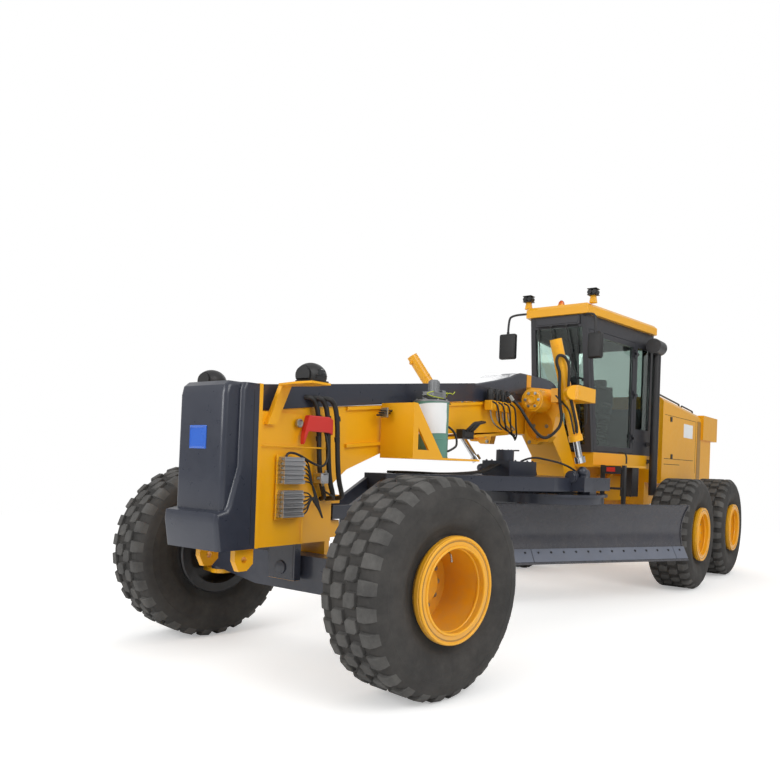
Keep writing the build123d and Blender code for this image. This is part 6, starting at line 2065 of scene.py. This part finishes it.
        dress(joined("lamp_stands", stands), self.shelf.take(YELLOW), "front_frame")
        deselect()
        bpy.ops.mesh.primitive_uv_sphere_add(segments=32, ring_count=16, radius=0.046,
            location=(-0.335, 0, 4.048))
        dome = settle(bpy.context.object)
        dome.name = "beacon_dome"
        make_active(dome)
        bpy.ops.object.mode_set(mode="EDIT")
        bpy.ops.mesh.select_all(action="SELECT")
        bpy.ops.mesh.bisect(plane_co=(-0.335, 0, 4.048), plane_no=(0, 0, 1), use_fill=True, clear_inner=True)
        bpy.ops.mesh.select_all(action="SELECT")
        bpy.ops.transform.resize(value=(1, 1, 1.45), center_override=(-0.335, 0, 4.048))
        bpy.ops.object.mode_set(mode="OBJECT")
        dress(smooth(dome, 60), self.shelf.take(AMBER), "front_frame")
        ribs = []
        for y in (-0.42, -0.14, 0.14, 0.42):
            rib = box("rib", (-2.15, y - 0.05, 4.017), (-0.62, y + 0.05, 4.030))
            pick(rib, faces=facing((0, 0, 1)))
            bpy.ops.transform.resize(value=(0.97, 0.6, 1), center_override=(-1.385, y, 4.03))
            bpy.ops.object.mode_set(mode="OBJECT")
            ribs.append(bevel(rib, 0.004, 1))
        dress(joined("roof_ribs", ribs), self.shelf.take(YELLOW), "front_frame")

    def mirrors(self) -> None:
        """Build both mirrors: bent arm, clamp, rounded shell and glass."""
        arms, shells, faces = [], [], []
        for side, inner, outer, low, high in ((1, 0.51, 0.71, 3.22, 3.57), (-1, -0.85, -0.59, 3.28, 3.65)):
            near = min(inner, outer)
            far = max(inner, outer)
            shell = box("shell", (-0.150, near, low), (-0.080, far, high))
            bevel(shell, 0.028, 4, lambda edge: abs(edge.verts[0].co.x - edge.verts[1].co.x) > 0.01
                  or all(v.co.x > -0.09 for v in edge.verts))
            inset_and_push(shell, (-1, 0, 0), 0.008, -0.006)
            shells.append(smooth(shell))
            pane = box("pane", (-0.1485, near + 0.012, low + 0.012), (-0.1455, far - 0.012, high - 0.012))
            bevel(pane, 0.018, 3, lambda edge: abs(edge.verts[0].co.x - edge.verts[1].co.x) > 0.001)
            faces.append(pane)
            middle = (near + far) / 2
            arms.append(tube(
                "arm",
                ((-0.27, side * 0.36, high + 0.285), (-0.20, side * 0.42, high + 0.285),
                    (-0.13, middle - side * 0.05, high + 0.27),
                 (-0.115, middle, high + 0.20), (-0.115, middle, high - 0.02)), 0.016, 8,
            ))
            clamp = drum("clamp", (-0.115, middle, high - 0.01), (-0.115, middle, high + 0.03), 0.020, 20)
            arms.append(bevel(clamp, 0.004, 1))
            foot = box("foot", (-0.282, side * 0.36 - 0.03, high + 0.25),
                (-0.262, side * 0.36 + 0.03, high + 0.32))
            arms.append(bevel(foot, 0.004, 1))
        dress(joined("mirror_shells", shells), self.shelf.take(PLASTIC), "front_frame",
            ("mirrors",))
        dress(joined("mirror_arms", arms), self.shelf.take(BLACK), "front_frame")
        dress(joined("mirror_panes", faces), self.shelf.take(MIRROR), "front_frame")

    def seat(self) -> None:
        """Upholster the seat: padded cushion, back, headrest and armrests on a suspension box."""
        cushion = soft_box("seat_cushion", (-1.88, -0.235, 2.46), (-1.39, 0.235, 2.585), 0.028)
        back = soft_box("seat_back", (-1.945, -0.225, 2.56), (-1.825, 0.225, 3.02), 0.026)
        rest = soft_box("seat_headrest", (-1.930, -0.12, 3.015), (-1.850, 0.12, 3.145), 0.012)
        arms = [soft_box("seat_armrest", (-1.80, y - 0.03, 2.70), (-1.50, y + 0.03, 2.75), 0.006,
            2) for y in (0.215, -0.215)]
        cloth = self.shelf.take(CLOTH)
        for pad, fill, replaced in ((cushion, 0.7, ("seat",)), (back, 0.6, ()), (rest, 0.5, ())):
            dress(pad, cloth, "front_frame", replaced)
        dress(joined("seat_armrests", arms), self.shelf.take(PLASTIC), "front_frame")
        bellows = [
            bevel(box("fold", (-1.84 + i, -0.19 + i, z), (-1.44 - i, 0.19 - i, z + 0.045)), 0.014, 2)
            for z, i in ((2.13, 0.0), (2.18, 0.016), (2.23, 0.0), (2.28, 0.016), (2.33, 0.0), (2.38, 0.016),
                (2.42, 0.0))
        ]
        bellows.append(bevel(box("plinth", (-1.86, -0.21, 2.012), (-1.42, 0.21, 2.13)), 0.01, 2))
        bellows.append(bevel(box("shell", (-1.972, -0.20, 2.52), (-1.935, 0.20, 3.0)), 0.015, 3))
        dress(joined("seat_base", bellows), self.shelf.take(PLASTIC), "front_frame")

    def controls(self) -> None:
        """Fit the wheel and the rows of levers with their knobs."""
        deselect()
        bpy.ops.mesh.primitive_torus_add(
            major_radius=0.195, minor_radius=0.014, major_segments=56, minor_segments=14, location=(0, 0, 0),
        )
        rim = settle(bpy.context.object)
        spokes = [tube("spoke", ((0, 0, -0.035), (0.09 * math.cos(t), 0.09 * math.sin(t), -0.03),
            (0.19 * math.cos(t), 0.19 * math.sin(t), 0)), 0.010, 6)
                  for t in (math.pi / 2, math.pi * 7 / 6, math.pi * 11 / 6)]
        hub = bevel(drum("hub", (0, 0, -0.06), (0, 0, -0.018), 0.045, 28), 0.006, 2)
        wheel = joined("steering_wheel", [smooth(rim, 60), *spokes, smooth(hub)])
        wheel.data.transform(Matrix.Translation((-1.10, 0, 2.99)) @ Matrix.Rotation(-0.42, 4, "Y"))
        dress(wheel, self.shelf.take(PLASTIC), "front_frame")
        rods, knobs = [], []
        for side in (1, -1):
            for k in range(5):
                x, y = -0.93 - 0.035 * k, side * (0.13 + 0.014 * k)
                top = Vector((x - 0.12, y * 1.25, 3.02 - 0.01 * k))
                rods.append(tube("rod", ((x + 0.02, y, 2.86), (x - 0.04, y * 1.08, 2.94), top), 0.006, 6))
                knob = drum("knob", top - Vector((0, 0, 0.01)), top + Vector((-0.015, 0, 0.045)), 0.017, 18)
                knobs.append(smooth(bevel(knob, 0.007, 3)))
        dress(joined("lever_rods", rods), self.shelf.take(ZINC), "front_frame")
        dress(joined("lever_knobs", knobs), self.shelf.take(PLASTIC), "front_frame")

    def build(self) -> None:
        """Build the cab's pieces."""
        self.wipers()
        self.trim()
        self.door_gear()
        self.roof_gear()
        self.mirrors()
        self.seat()
        self.controls()


ASSEMBLIES: tuple[type[Assembly], ...] = (Wheels, Nose, BeamGear, Cab, Cowl, BladeGear, Tail)


# ---------------------------------------------------------------- the whole grader
def main() -> None:
    """Dress the frame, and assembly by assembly."""
    logging.basicConfig(level=logging.INFO, format="%(name)s: %(message)s")
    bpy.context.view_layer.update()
    shelf = Shelf()
    Studio().build()
    FrameFinishes(shelf).build()
    for assembly in ASSEMBLIES:
        assembly(shelf).build()


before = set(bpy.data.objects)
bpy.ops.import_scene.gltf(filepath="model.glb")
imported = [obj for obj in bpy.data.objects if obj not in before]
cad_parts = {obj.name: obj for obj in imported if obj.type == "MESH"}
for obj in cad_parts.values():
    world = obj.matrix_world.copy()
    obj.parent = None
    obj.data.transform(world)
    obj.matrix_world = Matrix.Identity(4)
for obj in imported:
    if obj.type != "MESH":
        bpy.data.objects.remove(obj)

if __name__ == "__main__":
    main()
